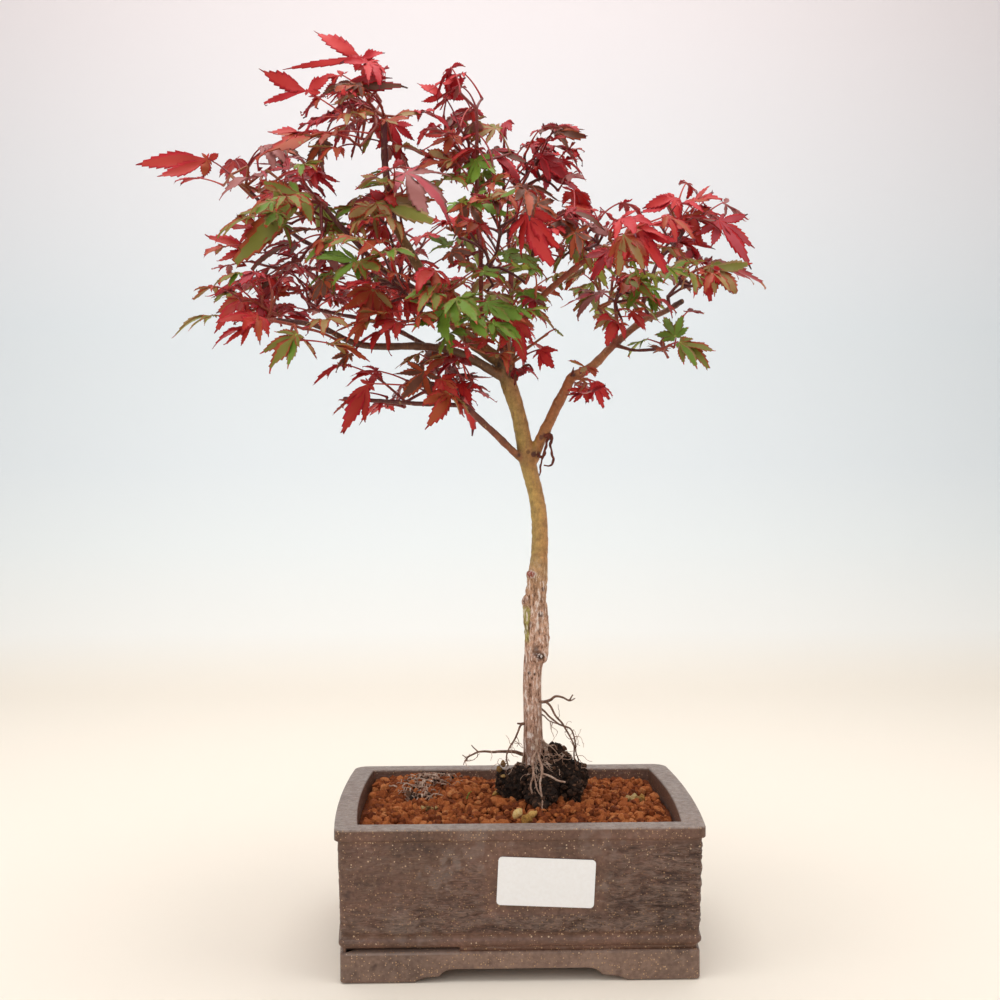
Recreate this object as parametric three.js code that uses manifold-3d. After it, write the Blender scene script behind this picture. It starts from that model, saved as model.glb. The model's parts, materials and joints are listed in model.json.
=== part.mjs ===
// A small maple grown as a bonsai, whole, in its rectangular pot on a footed tray.
// Millimetres, +Z up, the front of the pot towards -Y. The origin is on the ground
// under the middle of the whole thing.
//
// The trunk rises from a lump of peat and roots to two forks. Each bough is one
// tapering limb. The leaves hang in masses: each mass has one stem that meets its
// bough's tip, twigs that join leaf to leaf by one rule, and leaves in pairs. A mass
// keeps to the points that lie nearer to its own leaves than to any other mass's.

import * as THREE from 'three';
import { mergeVertices } from 'three/addons/utils/BufferGeometryUtils.js';
import Module from 'manifold-3d';

const wasm = await Module();
wasm.setup();

const UP = new THREE.Vector3(0, 0, 1);
const FRONT = new THREE.Vector3(0, -1, 0);

// Driving dimensions: the pot and its tray

const CLEAR = 0.36;
const POT = { length: 190, depth: 140, top: 80, corner: 6, bow: 3.2 };
const RIM = { height: 6, overhang: 1.7, width: 11, round: 0.8 };
const WALL = { footInset: 3, top: POT.top - RIM.height - 0.4 };
const BEAD = { low: 19.2, high: 23, proud: 1, slope: 1.2 };
const COVE = { inset: 5, top: 18 };
const HOLLOW = { floor: 24, edge: 27, edgeInset: RIM.width + 2, floorInset: RIM.width + 6 };
const TRAY = { height: 16, inset: 2.6, round: 1 };
const ARCH = { rise: 7.2, foot: 55, shoulder: 42, crown: 34 };
const SIDE_ARCH = { rise: 6.4, foot: 34, shoulder: 27, crown: 21 };
const SLOT = { from: -89.5, to: -32, height: 2.4, depth: 5 };
const LABEL = { width: 50, height: 25, thick: 0.4, corner: 2, x: 13.0, z: 51.8, turn: -2.7, gap: 0.41 };
const CORNER_STEPS = 3;
const SIDE_STEPS = 4;
const CURVE_STEPS = 3;
const PAST = 20;

// Driving dimensions: soil, peat and trunk

const SOIL = { edge: 71, mound: 5, gap: 0.4, rings: [0.78, 0.52, 0.26] };
const GROUND = 72;
const PEAT = { x: 16, y: 5, z: 82, rx: 23.5, ry: 20, rz: 21, lump: 2.4, seed: 5, foot: GROUND - 8 };

// The trunk's middle line and radius: x, y, z, radius
const TRUNK = [
  [11, 4, GROUND, 8.4],
  [10.6, 4, 90, 6.4],
  [10.4, 4, 112, 5.5],
  [10, 4, 150, 5.3],
  [12, 3, 166, 6.7],
  [11.4, 2, 187, 6.6],
  [12.5, 1, 200, 5.5],
  [14, 0, 224, 4.7],
  [12.8, 0, 243, 4.3],
  [7, 0, 268, 4.8],
  [1.7, 0, 295, 4.1],
  [-4, 0, 313, 4.7],
  [-5.8, 0, 324, 5.2],
];

// Roots that lie bare above the peat: the points they pass and their radius at the trunk
const ROOTS = [
  { radius: 1.7, way: [[10.4, 0, 108], [13, -8, 92], [16, -17, 76]] },
  { radius: 1.3, way: [[8, 3, 101], [-9, -3, 104.5], [-28, -8, 101.6]] },
  { radius: 1, way: [[6, 3, 118], [-1, 0, 110], [-4, -2, 99], [-2.5, -2, 88]] },
  { radius: 1.2, way: [[14, 3, 130], [25, 0, 119], [32.5, -2, 106], [34, -2, 92]] },
];

// Knots: the stub of an old cut and the swelling of a scar
const KNOTS = [
  { at: [8, -3, 205], radius: 3 },
  { at: [17.5, 0, 167], radius: 3.6 },
];

// Driving dimensions: limbs. Each has the points it passes, and its radius at each end.
// `on` names what it grows from.
const LIMBS = [
  { name: 'bough_right_lower', on: 'trunk', radii: [3.3, 2.8],
    way: [[9, 0, 267], [19, -2, 289], [31, -5, 314]] },
  { name: 'bough_right_upper', on: 'bough_right_lower', radii: [2.7, 1.9],
    way: [[31, -5, 314], [43, -1, 320.5], [57, 6, 334], [78, 13, 351]] },
  { name: 'bough_right_twig', on: 'bough_right_upper', radii: [1.2, 0.9],
    way: [[57, 6, 333], [67, -2, 329.5], [79, -9, 329.5]] },
  { name: 'bough_right_spur', on: 'bough_right_upper', radii: [1.5, 1.1],
    way: [[57, 6, 334], [57, 0, 345], [56, -4, 353]] },
  { name: 'bough_right_stub', on: 'bough_right_upper', radii: [1.8, 1.6],
    way: [[77, 13, 349.5], [88, 18, 354], [98, 21, 360]] },
  { name: 'bough_left_low', on: 'trunk', radii: [2.2, 1.7],
    way: [[7, 0, 266], [-13, -9, 284], [-28, -16, 298]] },
  { name: 'bough_left_low_outer', on: 'bough_left_low', radii: [1.5, 1.1],
    way: [[-28, -16, 298], [-55, -20, 299], [-94, -14, 302]] },
  { name: 'bough_left', on: 'trunk', radii: [2.8, 1.2],
    way: [[-7, -1, 315], [-38, -17, 328.5], [-84, -34, 329.5], [-107, -41, 339], [-127, -45, 341]] },
  { name: 'bough_left_mid', on: 'bough_left', radii: [1.4, 1.1],
    way: [[-47, -21, 329], [-70, -6, 342], [-110, 11, 353]] },
  { name: 'leader_lower', on: 'trunk', radii: [4.2, 2.4],
    way: [[-6, 0, 321], [-30, 4, 341], [-50, 9, 371], [-68, 8, 402]] },
  { name: 'leader_upper', on: 'leader_lower', radii: [2.3, 1.8],
    way: [[-68, 8, 402], [-71.5, 4, 427], [-72.5, 0, 456]] },
  { name: 'bough_upper_left', on: 'leader_lower', radii: [1.9, 1.3],
    way: [[-42, 8, 357], [-70, -7, 371], [-96, -19, 396], [-103, -22, 404]] },
  { name: 'bough_far_left', on: 'leader_lower', radii: [1.8, 1.2],
    way: [[-39, 7, 354], [-88, 24, 377.5], [-128, 30, 400], [-152, 30, 424]] },
  { name: 'bough_front', on: 'leader_lower', radii: [1.5, 1.1],
    way: [[-33, 5, 345], [-42, -10, 350], [-48, -24, 352]] },
  { name: 'bough_centre', on: 'leader_lower', radii: [1.6, 1.2],
    way: [[-17, 2, 332], [-19, -11, 356], [-19, -21, 378]] },
  { name: 'bough_centre_back', on: 'trunk', radii: [1.9, 1.2],
    way: [[-5, 1, 323], [-1.6, 18, 353], [-2, 31, 397]] },
  { name: 'bough_upper_right', on: 'trunk', radii: [2.1, 1.5],
    way: [[-4, 0, 321], [6.5, -14, 348], [24, -30, 365], [43, -42, 378.5]] },
  { name: 'bough_back_left', on: 'leader_lower', radii: [1.9, 1.2],
    way: [[-36, 6, 349], [-52, 34, 362], [-66, 62, 374]] },
  { name: 'bough_back', on: 'trunk', radii: [2, 1.2],
    way: [[-5, 1, 320], [-6, 34, 340], [0, 64, 358]] },
  { name: 'bough_back_right', on: 'bough_right_upper', radii: [1.6, 1.1],
    way: [[56, 6, 333], [58, 36, 345], [54, 62, 360]] },
];

// Driving dimensions: leaves

const LEAF = {
  lobes: [-82, -40, 0, 40, 82],
  share: [0.56, 0.86, 1, 0.86, 0.56],
  notch: 0.3,
  base: 0.09,
  thick: 0.8,
  droop: 0.26,
  overlap: 0.2,
};
const MIDDLE_LOBE = 2;
const STALK = { share: 0.95, roomShare: 0.6, radius: 0.5, swell: 1.3, sunk: 0.3, clear: 2 };
const STALK_WAY = { toFoot: 0.55, back: 0.45, down: 0.3 };
const TWIG = { radius: 0.62, perLeaf: 0.13, taper: 0.9, detour: 0.35, same: 0.5 };
const STEM = { sunk: 1, length: 3, step: 9 };
const BLADE_MARGIN = 0.6;
const TWIG_MARGIN = 1.3;
const LIMB_MARGIN = 1.6;
const LIMB_STEP = 16;
const OLD_WOOD = 2.3;
const CROWDING = 0.5;
const TRIMS = [1, 0.85, 0.7, 0.55, 0.4, 0.25];

// The bounds that a seeded leaf is drawn between: its place round a leaf that shows, the
// way it points, its length and how far it is opened to the front
const SEEDED = {
  reach: [17, 24, 15],
  share: [0.45, 1.05],
  swing: 1.8,
  dip: [-0.15, -0.65],
  length: [17, 28],
  open: [15, 65],
};

// The same for the partner of a leaf that shows, with shares of that leaf's own sizes
const PARTNER = {
  aside: 8,
  across: 0.5,
  behind: [6, 12],
  rise: [0.5, 1.1],
  size: [0.62, 0.87],
  swing: [0.2, 0.8],
  dip: [-0.2, -0.6],
  open: [20, 60],
};

// How far a surface may shift where its triangles are thinned out
const THINNED = { body: 0.01, trunk: 0.02, twigs: 0.1 };
const WELD = 1e-4;

// Driving dimensions: masses. Each hangs on the tip of a limb. A leaf that shows from the
// front has its hub, the way its middle lobe points and how far it is opened to the front,
// in degrees. `more` leaves are set by the seed round the others.
const MASSES = [
  { name: 'foliage_top', on: 'leader_upper', seed: 11, more: 5, tint: 'crimson', leaves: [
    [-85, 0, 491, -27, 6, 17, 35], [-114, -8, 470, -28, 6, 12, 30], [-95, -14, 472, 35, -10, -5, 20],
    [-94, 6, 465, -18, 18, -3, 60], [-71, -10, 454, 21, 4, 8, 35], [-98, -20, 445, -43, -10, -15, 25],
    [-105, 2, 449, -25, 6, 0, 40], [-68, 8, 457, 6, -4, -24, 60]] },
  { name: 'foliage_far_left', on: 'bough_far_left', seed: 12, more: 3, tint: 'red', leaves: [
    [-176, 30, 442, -48, 4, -1, 40], [-142, 22, 432, -28, -8, -8, 25], [-113, 10, 432, -20, -10, -16, 40],
    [-131, 44, 440, -19, 16, 10, 40]] },
  { name: 'foliage_upper_left', on: 'bough_upper_left', seed: 13, more: 6, tint: 'olive', leaves: [
    [-115, -34, 409, -31, -10, -38, 50], [-143, -8, 382, -27, 6, 10, 55], [-125, -30, 394, -2, -14, -15, 60],
    [-113, 0, 396, -15, 12, 4, 20]] },
  { name: 'foliage_inner_left', on: 'bough_front', seed: 14, more: 6, tint: 'orange', leaves: [
    [-84, -44, 372, -22, -10, -3, 55], [-83, -48, 371, 16, -14, -8, 50], [-76, -40, 358, -9, -10, -27, 80],
    [-70, -34, 352, 3, -4, -26, 80]] },
  { name: 'foliage_centre', on: 'bough_front',
    foot: [-41, -21, 348], seed: 15, more: 7, tint: 'green', leaves: [
    [-37, -52, 346, -20, -12, -10, 60], [-17, -52, 350, 19, -11, -12, 55], [-17, -42, 332, -11, -8, -8, 40],
    [-33, -34, 357, -13, -10, -4, 40]] },
  { name: 'foliage_left', on: 'bough_left', seed: 16, more: 4, tint: 'red', leaves: [
    [-143, -44, 353, -15, -8, -15, 60], [-134, -40, 352, -2, -8, -16, 70], [-114, -54, 333, -15, -4, -16, 55],
    [-128, -30, 360, 14, -8, -7, 60], [-151, -34, 357, -16, 5, -7, 20]] },
  { name: 'foliage_left_mid', on: 'bough_left_mid', seed: 17, more: 6, tint: 'red', leaves: [
    [-108, 10, 368, 16, -8, 1, 40], [-122, 16, 364, -17, 10, 6, 40], [-122, 30, 377, -14, 16, 7, 30]] },
  { name: 'foliage_low_left', on: 'bough_left_low', seed: 18, more: 2, tint: 'orange', leaves: [
    [-80, -25, 309, -19, -8, -31, 60], [-50, -22, 316, -10, -10, -15, 70], [-41, -26, 312, 8, -8, -14, 70],
    [-35, -12, 316, 22, 8, -7, 30], [-46, -2, 324, -5, 16, 11, 50], [-62, -6, 310, -6, 14, -9, 50]] },
  { name: 'foliage_leader', on: 'leader_lower',
    foot: [-68.5, 1.5, 404], seed: 19, more: 8, tint: 'mauve', leaves: [
    [-59, -30, 421, 31, -10, -14, 60], [-75, -30, 405, 36, -14, -8, 40], [-78, -26, 404, -8, -11, -17, 70],
    [-56, 2, 423, 16, 11, 1, 15], [-66, 24, 388, -11, 16, 8, 50]] },
  { name: 'foliage_upper', on: 'bough_centre', seed: 20, more: 9, tint: 'orange', leaves: [
    [-39, 0, 470, -18, 6, 12, 50], [-34, -10, 446, -18, -6, -8, 50], [-32, 4, 440, -10, -6, -14, 60],
    [-10, 0, 453, -16, -4, -6, 40], [-37, -8, 386, -15, 7, 4, 40], [-22, 12, 446, 8, 12, -9, 50]] },
  { name: 'foliage_middle', on: 'bough_centre',
    foot: [-15, -25, 371], seed: 21, more: 10, tint: 'crimson', leaves: [
    [4, -56, 395, 6, -10, -31, 80], [10, -44, 402, 20, -6, -23, 55], [-22, -48, 405, 22, -10, -12, 45],
    [-25, -44, 403, -5, -8, -18, 70], [8, -34, 373, -18, -8, -1, 45], [-12, -11, 371, 24, 8, 3, 30]] },
  { name: 'foliage_upper_mid', on: 'bough_centre_back', seed: 22, more: 8, tint: 'pink', leaves: [
    [-2, 4, 456, 26, -9, -13, 50], [14, 6, 440, 16, -8, -17, 50], [19, 18, 432, 25, -6, -9, 35],
    [-18, 10, 430, 4, -12, -19, 60], [13, 22, 438, 16, 6, 7, 60]] },
  { name: 'foliage_upper_right', on: 'bough_upper_right',
    foot: [35, -33, 379], seed: 23, more: 6, tint: 'olive', leaves: [
    [42, -20, 403, -17, 8, 7, 30], [36, -34, 393, 15, -8, -5, 40], [31, -46, 386, -5, -8, -15, 60],
    [28, -20, 384, -8, 6, -13, 60]] },
  { name: 'foliage_right', on: 'bough_upper_right', seed: 24, more: 4, tint: 'crimson', leaves: [
    [60, -60, 388, 17, -8, -26, 70], [66, -50, 390, 28, 8, 1, 20], [53, -62, 383, 10, -12, -19, 60],
    [58, -42, 377, 7, 6, -13, 60]] },
  { name: 'foliage_far_right_top', on: 'bough_right_upper',
    foot: [73, 8, 357], seed: 25, more: 3, tint: 'crimson', leaves: [
    [91, 6, 416, -15, -8, -13, 60], [102, 10, 415, 17, 6, 7, 30], [101, 14, 408, 5, -6, -20, 60],
    [116, 8, 404, 13, -7, -26, 60]] },
  { name: 'foliage_far_right', on: 'bough_right_stub',
    foot: [88, 13, 361], seed: 26, more: 3, tint: 'mauve', leaves: [
    [111, 6, 378, 17, -9, -18, 60], [110, 16, 382, 38, 6, -12, 25], [101, 0, 380, -23, -8, -7, 40],
    [108, 28, 384, 4, 17, 10, 60]] },
  { name: 'foliage_right_low', on: 'bough_right_twig', seed: 27, more: 2, tint: 'green', leaves: [
    [90, -13, 333, 20, -4, -11, 60], [89, -8, 336, -7, 6, 15, 60]] },
  { name: 'foliage_right_mid', on: 'bough_right_spur', seed: 28, more: 4, tint: 'green', leaves: [
    [71, -12, 366, -15, -8, -11, 55], [75, -4, 364, 8, -6, -14, 50], [49, -2, 361, -22, 10, 0, 30],
    [52, -16, 347, -11, -8, -7, 40], [63, -20, 349, 8, -9, -8, 50]] },
  { name: 'foliage_inner_right', on: 'trunk',
    foot: [-1.6, -7.5, 322], seed: 29, more: 3, tint: 'red', leaves: [
    [-1, -30, 343, 4, -4, -21, 70], [13, -20, 328, 6, -10, -10, 60], [3, -36, 357, 10, -7, -13, 50]] },
  { name: 'foliage_fork_shoot', on: 'bough_right_lower',
    foot: [36, -9.5, 313], seed: 30, more: 0, tint: 'crimson', leaves: [
    [44, -10, 311, 3, -4, -13, 60], [38, -14, 307, -7, -4, -8, 50]] },
  { name: 'foliage_back_left', on: 'bough_back_left', seed: 31, more: 14, tint: 'red',
    middle: [-74, 74, 392], reach: [48, 24, 38] },
  { name: 'foliage_back', on: 'bough_back', seed: 32, more: 16, tint: 'orange',
    middle: [0, 74, 388], reach: [42, 24, 44] },
  { name: 'foliage_back_right', on: 'bough_back_right', seed: 33, more: 13, tint: 'olive',
    middle: [64, 62, 378], reach: [44, 26, 32] },
];

// Finishes

function finish(color, roughness) {
  return new THREE.MeshStandardMaterial({ color, roughness, metalness: 0 });
}

const finishes = {
  pot: finish('#6b5750', 0.55),
  soil: finish('#9a4f24', 0.95),
  peat: finish('#2b1c14', 0.95),
  label: finish('#f4f2ef', 0.4),
  bark: finish('#9a8064', 0.8),
  youngBark: finish('#8a4a34', 0.6),
  crimson: finish('#c8262c', 0.5),
  red: finish('#b8302c', 0.5),
  pink: finish('#c85a60', 0.5),
  mauve: finish('#b56a6d', 0.5),
  orange: finish('#a5562a', 0.5),
  olive: finish('#7d6a3a', 0.5),
  green: finish('#6d8a2d', 0.5),
};

// Solids: closed meshes that can be joined and cut

function vec(point) {
  return new THREE.Vector3(point[0], point[1], point[2]);
}

function solidOf(geometry) {
  const bare = geometry.clone();
  bare.deleteAttribute('normal');
  bare.deleteAttribute('uv');
  const merged = mergeVertices(bare, WELD);
  return new wasm.Manifold(new wasm.Mesh({
    numProp: 3,
    vertProperties: merged.attributes.position.array,
    triVerts: merged.index.array,
  }));
}

function smoothed(solid, tolerance) {
  return solid.asOriginal().simplify(tolerance);
}

function geometryOf(solid) {
  const mesh = solid.getMesh();
  const geometry = new THREE.BufferGeometry();
  geometry.setAttribute('position', new THREE.BufferAttribute(mesh.vertProperties, 3));
  geometry.setIndex(new THREE.BufferAttribute(mesh.triVerts, 1));
  geometry.computeVertexNormals();
  return geometry;
}

function meshGeometry(corners, triangles) {
  const geometry = new THREE.BufferGeometry().setFromPoints(corners);
  geometry.setIndex(triangles);
  return geometry;
}

// Rings of equal length, joined in order and closed with a fan at each end.
function loft(rings) {
  const around = rings[0].length;
  const corners = rings.flat();
  const triangles = [];
  for (let ring = 0; ring + 1 < rings.length; ring++) {
    for (let k = 0; k < around; k++) {
      const a = ring * around + k;
      const b = ring * around + (k + 1) % around;
      triangles.push(a, b, b + around, a, b + around, a + around);
    }
  }
  for (const [ring, last] of [[0, false], [rings.length - 1, true]]) {
    const middle = new THREE.Vector3();
    rings[ring].forEach((corner) => middle.addScaledVector(corner, 1 / around));
    const hub = corners.push(middle) - 1;
    for (let k = 0; k < around; k++) {
      const a = ring * around + k;
      const b = ring * around + (k + 1) % around;
      triangles.push(hub, last ? a : b, last ? b : a);
    }
  }
  return meshGeometry(corners, triangles);
}

// A tube through the points, its radius given at each of them.
function taperedTube(points, radii, sides) {
  let across = null;
  const rings = points.map((point, k) => {
    const before = points[Math.max(k - 1, 0)];
    const after = points[Math.min(k + 1, points.length - 1)];
    const along = after.clone().sub(before).normalize();
    if (!across) {
      across = Math.abs(along.x) < 0.8 ? new THREE.Vector3(1, 0, 0) : new THREE.Vector3(0, 1, 0);
    }
    across = across.clone().addScaledVector(along, -across.dot(along)).normalize();
    const other = along.clone().cross(across);
    return Array.from({ length: sides }, (_, side) => {
      const turn = 2 * Math.PI * side / sides;
      return point.clone()
        .addScaledVector(across, radii[k] * Math.cos(turn))
        .addScaledVector(other, radii[k] * Math.sin(turn));
    });
  });
  return loft(rings);
}

// A tube grown by some clearance all round, its two ends too.
function grownTube(points, radii, sides, grow) {
  const last = points.length - 1;
  const ends = points.map((point) => point.clone());
  ends[0].add(points[0].clone().sub(points[1]).setLength(grow));
  ends[last].add(points[last].clone().sub(points[last - 1]).setLength(grow));
  return solidOf(taperedTube(grow ? ends : points, radii.map((radius) => radius + grow), sides));
}

// The same row of numbers from 0 to 1 for the same seed.
function seededNumbers(seed) {
  let state = seed * 7919 + 17;
  return () => {
    state = (Math.imul(state, 1664525) + 1013904223) >>> 0;
    return state / 2 ** 32;
  };
}

function between(draw, [low, high]) {
  return low + (high - low) * draw();
}

// Pot: rings of one plan, set in by some millimetres at each height

function planRing(inset, z) {
  const halfX = POT.length / 2 - inset;
  const halfY = POT.depth / 2 - inset;
  const corner = Math.max(POT.corner - inset / 2, 1.5);
  const ring = [];
  for (const [right, back, start] of [[1, -1, -90], [1, 1, 0], [-1, 1, 90], [-1, -1, 180]]) {
    for (let k = 0; k <= CORNER_STEPS; k++) {
      const turn = THREE.MathUtils.degToRad(start + 90 * k / CORNER_STEPS);
      const x = right * (halfX - corner) + corner * Math.cos(turn);
      const y = back * (halfY - corner) + corner * Math.sin(turn);
      ring.push(new THREE.Vector3(x, y, z));
    }
    if (right === -back) {
      for (let k = 1; k < SIDE_STEPS; k++) {
        const y = back * (halfY - corner) * (1 - 2 * k / SIDE_STEPS);
        ring.push(new THREE.Vector3(right * halfX, y, z));
      }
    }
  }
  for (const corner3 of ring) {
    corner3.x += Math.sign(corner3.x) * POT.bow * (1 - (corner3.y / halfY) ** 2);
  }
  return ring;
}

function box(from, to) {
  const size = vec(to).sub(vec(from));
  const middle = vec(to).add(vec(from)).multiplyScalar(0.5);
  return new THREE.BoxGeometry(size.x, size.y, size.z).translate(middle.x, middle.y, middle.z);
}

function potGeometry() {
  const levels = [
    [COVE.inset, TRAY.height],
    [COVE.inset, COVE.top],
    [WALL.footInset, BEAD.low],
    [WALL.footInset - BEAD.proud, BEAD.low + BEAD.slope],
    [WALL.footInset - BEAD.proud, BEAD.high - BEAD.slope],
    [WALL.footInset, BEAD.high],
    [RIM.overhang, WALL.top],
    [0, POT.top - RIM.height],
    [0, POT.top - RIM.round],
    [RIM.round, POT.top],
    [RIM.width - RIM.round, POT.top],
    [RIM.width, POT.top - RIM.round],
    [HOLLOW.edgeInset, HOLLOW.edge],
    [HOLLOW.floorInset, HOLLOW.floor],
  ];
  const shell = solidOf(loft(levels.map(([inset, z]) => planRing(inset, z))));
  const slotBack = -POT.depth / 2 + COVE.inset + SLOT.depth;
  const slot = solidOf(box(
    [SLOT.from, -POT.depth, TRAY.height - 1],
    [SLOT.to, slotBack, TRAY.height + SLOT.height],
  ));
  return geometryOf(shell.subtract(slot));
}

// The cloud-shaped arch that leaves a foot at each end.
function archOutline(arch) {
  const outline = new THREE.Shape();
  outline.moveTo(-arch.foot, -1);
  outline.lineTo(-arch.foot, 0);
  outline.quadraticCurveTo(-arch.foot + 1, arch.rise * 0.4, -arch.shoulder, arch.rise * 0.5);
  outline.quadraticCurveTo(-arch.shoulder + 3, arch.rise, -arch.crown, arch.rise);
  outline.lineTo(arch.crown, arch.rise);
  outline.quadraticCurveTo(arch.shoulder - 3, arch.rise, arch.shoulder, arch.rise * 0.5);
  outline.quadraticCurveTo(arch.foot - 1, arch.rise * 0.4, arch.foot, 0);
  outline.lineTo(arch.foot, -1);
  return outline;
}

function archCut(arch, turned) {
  const length = POT.length + PAST;
  const settings = { depth: length, bevelEnabled: false, curveSegments: CURVE_STEPS };
  const cut = new THREE.ExtrudeGeometry(archOutline(arch), settings);
  cut.translate(0, 0, -length / 2).rotateX(Math.PI / 2);
  return solidOf(turned ? cut.rotateZ(Math.PI / 2) : cut);
}

function trayGeometry() {
  const levels = [
    [TRAY.inset + TRAY.round, 0],
    [TRAY.inset, TRAY.round],
    [TRAY.inset, TRAY.height - TRAY.round],
    [TRAY.inset + TRAY.round, TRAY.height],
  ];
  const slab = solidOf(loft(levels.map(([inset, z]) => planRing(inset, z))));
  return geometryOf(slab.subtract(archCut(ARCH, false)).subtract(archCut(SIDE_ARCH, true)));
}

// The label lies against the front wall, which leans back a little towards its foot.
function labelGeometry() {
  const { width, height, thick, corner } = LABEL;
  const outline = new THREE.Shape();
  const [x, y] = [width / 2, height / 2];
  outline.moveTo(-x + corner, -y);
  outline.lineTo(x - corner, -y);
  outline.absarc(x - corner, -y + corner, corner, -Math.PI / 2, 0);
  outline.absarc(x - corner, y - corner, corner, 0, Math.PI / 2);
  outline.absarc(-x + corner, y - corner, corner, Math.PI / 2, Math.PI);
  outline.absarc(-x + corner, -y + corner, corner, Math.PI, 1.5 * Math.PI);
  const settings = { depth: thick, bevelEnabled: false, curveSegments: CURVE_STEPS };
  const plate = new THREE.ExtrudeGeometry(outline, settings);
  plate.rotateZ(THREE.MathUtils.degToRad(LABEL.turn)).rotateX(Math.PI / 2);
  return plate;
}

function frontWallAt(z) {
  const share = (z - BEAD.high) / (WALL.top - BEAD.high);
  return -POT.depth / 2 + THREE.MathUtils.lerp(WALL.footInset, RIM.overhang, share);
}

// Soil: it fills the pot and rises a little to the middle

function soilSolid() {
  const wall = RIM.width + SOIL.gap;
  const rings = [
    planRing(HOLLOW.floorInset + SOIL.gap, HOLLOW.floor + SOIL.gap),
    planRing(HOLLOW.edgeInset + 1.5 * SOIL.gap, HOLLOW.edge + SOIL.gap),
    planRing(wall + SOIL.gap, SOIL.edge),
  ];
  for (const share of SOIL.rings) {
    const height = SOIL.edge + SOIL.mound * (1 - share ** 2);
    rings.push(planRing(wall, height).map((p) => new THREE.Vector3(p.x * share, p.y * share, p.z)));
  }
  return solidOf(loft(rings));
}

function peatSolid(grow) {
  const draw = seededNumbers(PEAT.seed);
  const loose = new THREE.IcosahedronGeometry(1, 2).deleteAttribute('normal').deleteAttribute('uv');
  const ball = mergeVertices(loose, WELD);
  const spots = ball.attributes.position;
  for (let k = 0; k < spots.count; k++) {
    const swell = 1 + (draw() - 0.5) * 2 * PEAT.lump / PEAT.rx;
    spots.setXYZ(k,
      PEAT.x + spots.getX(k) * (PEAT.rx * swell + grow),
      PEAT.y + spots.getY(k) * (PEAT.ry * swell + grow),
      PEAT.z + spots.getZ(k) * (PEAT.rz * swell + grow));
  }
  return solidOf(ball);
}

// Trunk and limbs

function trunkSolid(grow) {
  const parts = [grownTube(TRUNK.map(vec), TRUNK.map(([, , , radius]) => radius), 10, grow)];
  for (const root of ROOTS) {
    const way = new THREE.CatmullRomCurve3(root.way.map(vec)).getPoints(4);
    const taper = way.map((_, k) => root.radius * (1 - 0.5 * k / (way.length - 1)));
    parts.push(grownTube(way, taper, 5, grow));
  }
  for (const knot of KNOTS) {
    const ball = new THREE.IcosahedronGeometry(knot.radius + grow, 1);
    parts.push(solidOf(ball.translate(...knot.at)));
  }
  return wasm.Manifold.union(parts);
}

// The points along a limb and its radius at each: a smooth curve through its way.
function limbLine(limb) {
  const curve = new THREE.CatmullRomCurve3(limb.way.map(vec));
  const steps = Math.max(2, Math.round(curve.getLength() / LIMB_STEP));
  const points = curve.getSpacedPoints(steps);
  const radii = points.map((_, k) => THREE.MathUtils.lerp(limb.radii[0], limb.radii[1], k / steps));
  return { points, radii };
}

function limbSolid(limb, grow) {
  const { points, radii } = limbLine(limb);
  return grownTube(points, radii, 6, grow);
}

// Leaves. Plane points are measured from the hub: `u` along the middle lobe, `v` across.

function leafFrame(leaf) {
  const along = leaf.along.clone().normalize();
  let over = UP.clone().addScaledVector(along, -UP.dot(along));
  if (over.length() < 0.25) {
    over = FRONT.clone().addScaledVector(along, -FRONT.dot(along));
  }
  over.normalize();
  const side = over.clone().cross(along);
  const towardsFront = side.y < 0 ? 1 : -1;
  const turn = THREE.MathUtils.degToRad(leaf.open) * towardsFront;
  const up = over.clone().multiplyScalar(Math.cos(turn)).addScaledVector(side, Math.sin(turn));
  return { along, up, across: up.clone().cross(along) };
}

// Where a spot of the blade lies: it hangs lower the further it is from the hub.
function bladePoint(leaf, frame, u, v) {
  const far = Math.hypot(u, v);
  return leaf.hub.clone()
    .addScaledVector(frame.along, u)
    .addScaledVector(frame.across, v)
    .addScaledVector(UP, -LEAF.droop * far * far / leaf.length);
}

function lobeTip(leaf, frame, lobe, part) {
  const turn = THREE.MathUtils.degToRad(LEAF.lobes[lobe]);
  const far = leaf.length * LEAF.share[lobe] * leaf.trims[lobe] * part;
  return bladePoint(leaf, frame, far * Math.cos(turn), far * Math.sin(turn));
}

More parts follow.
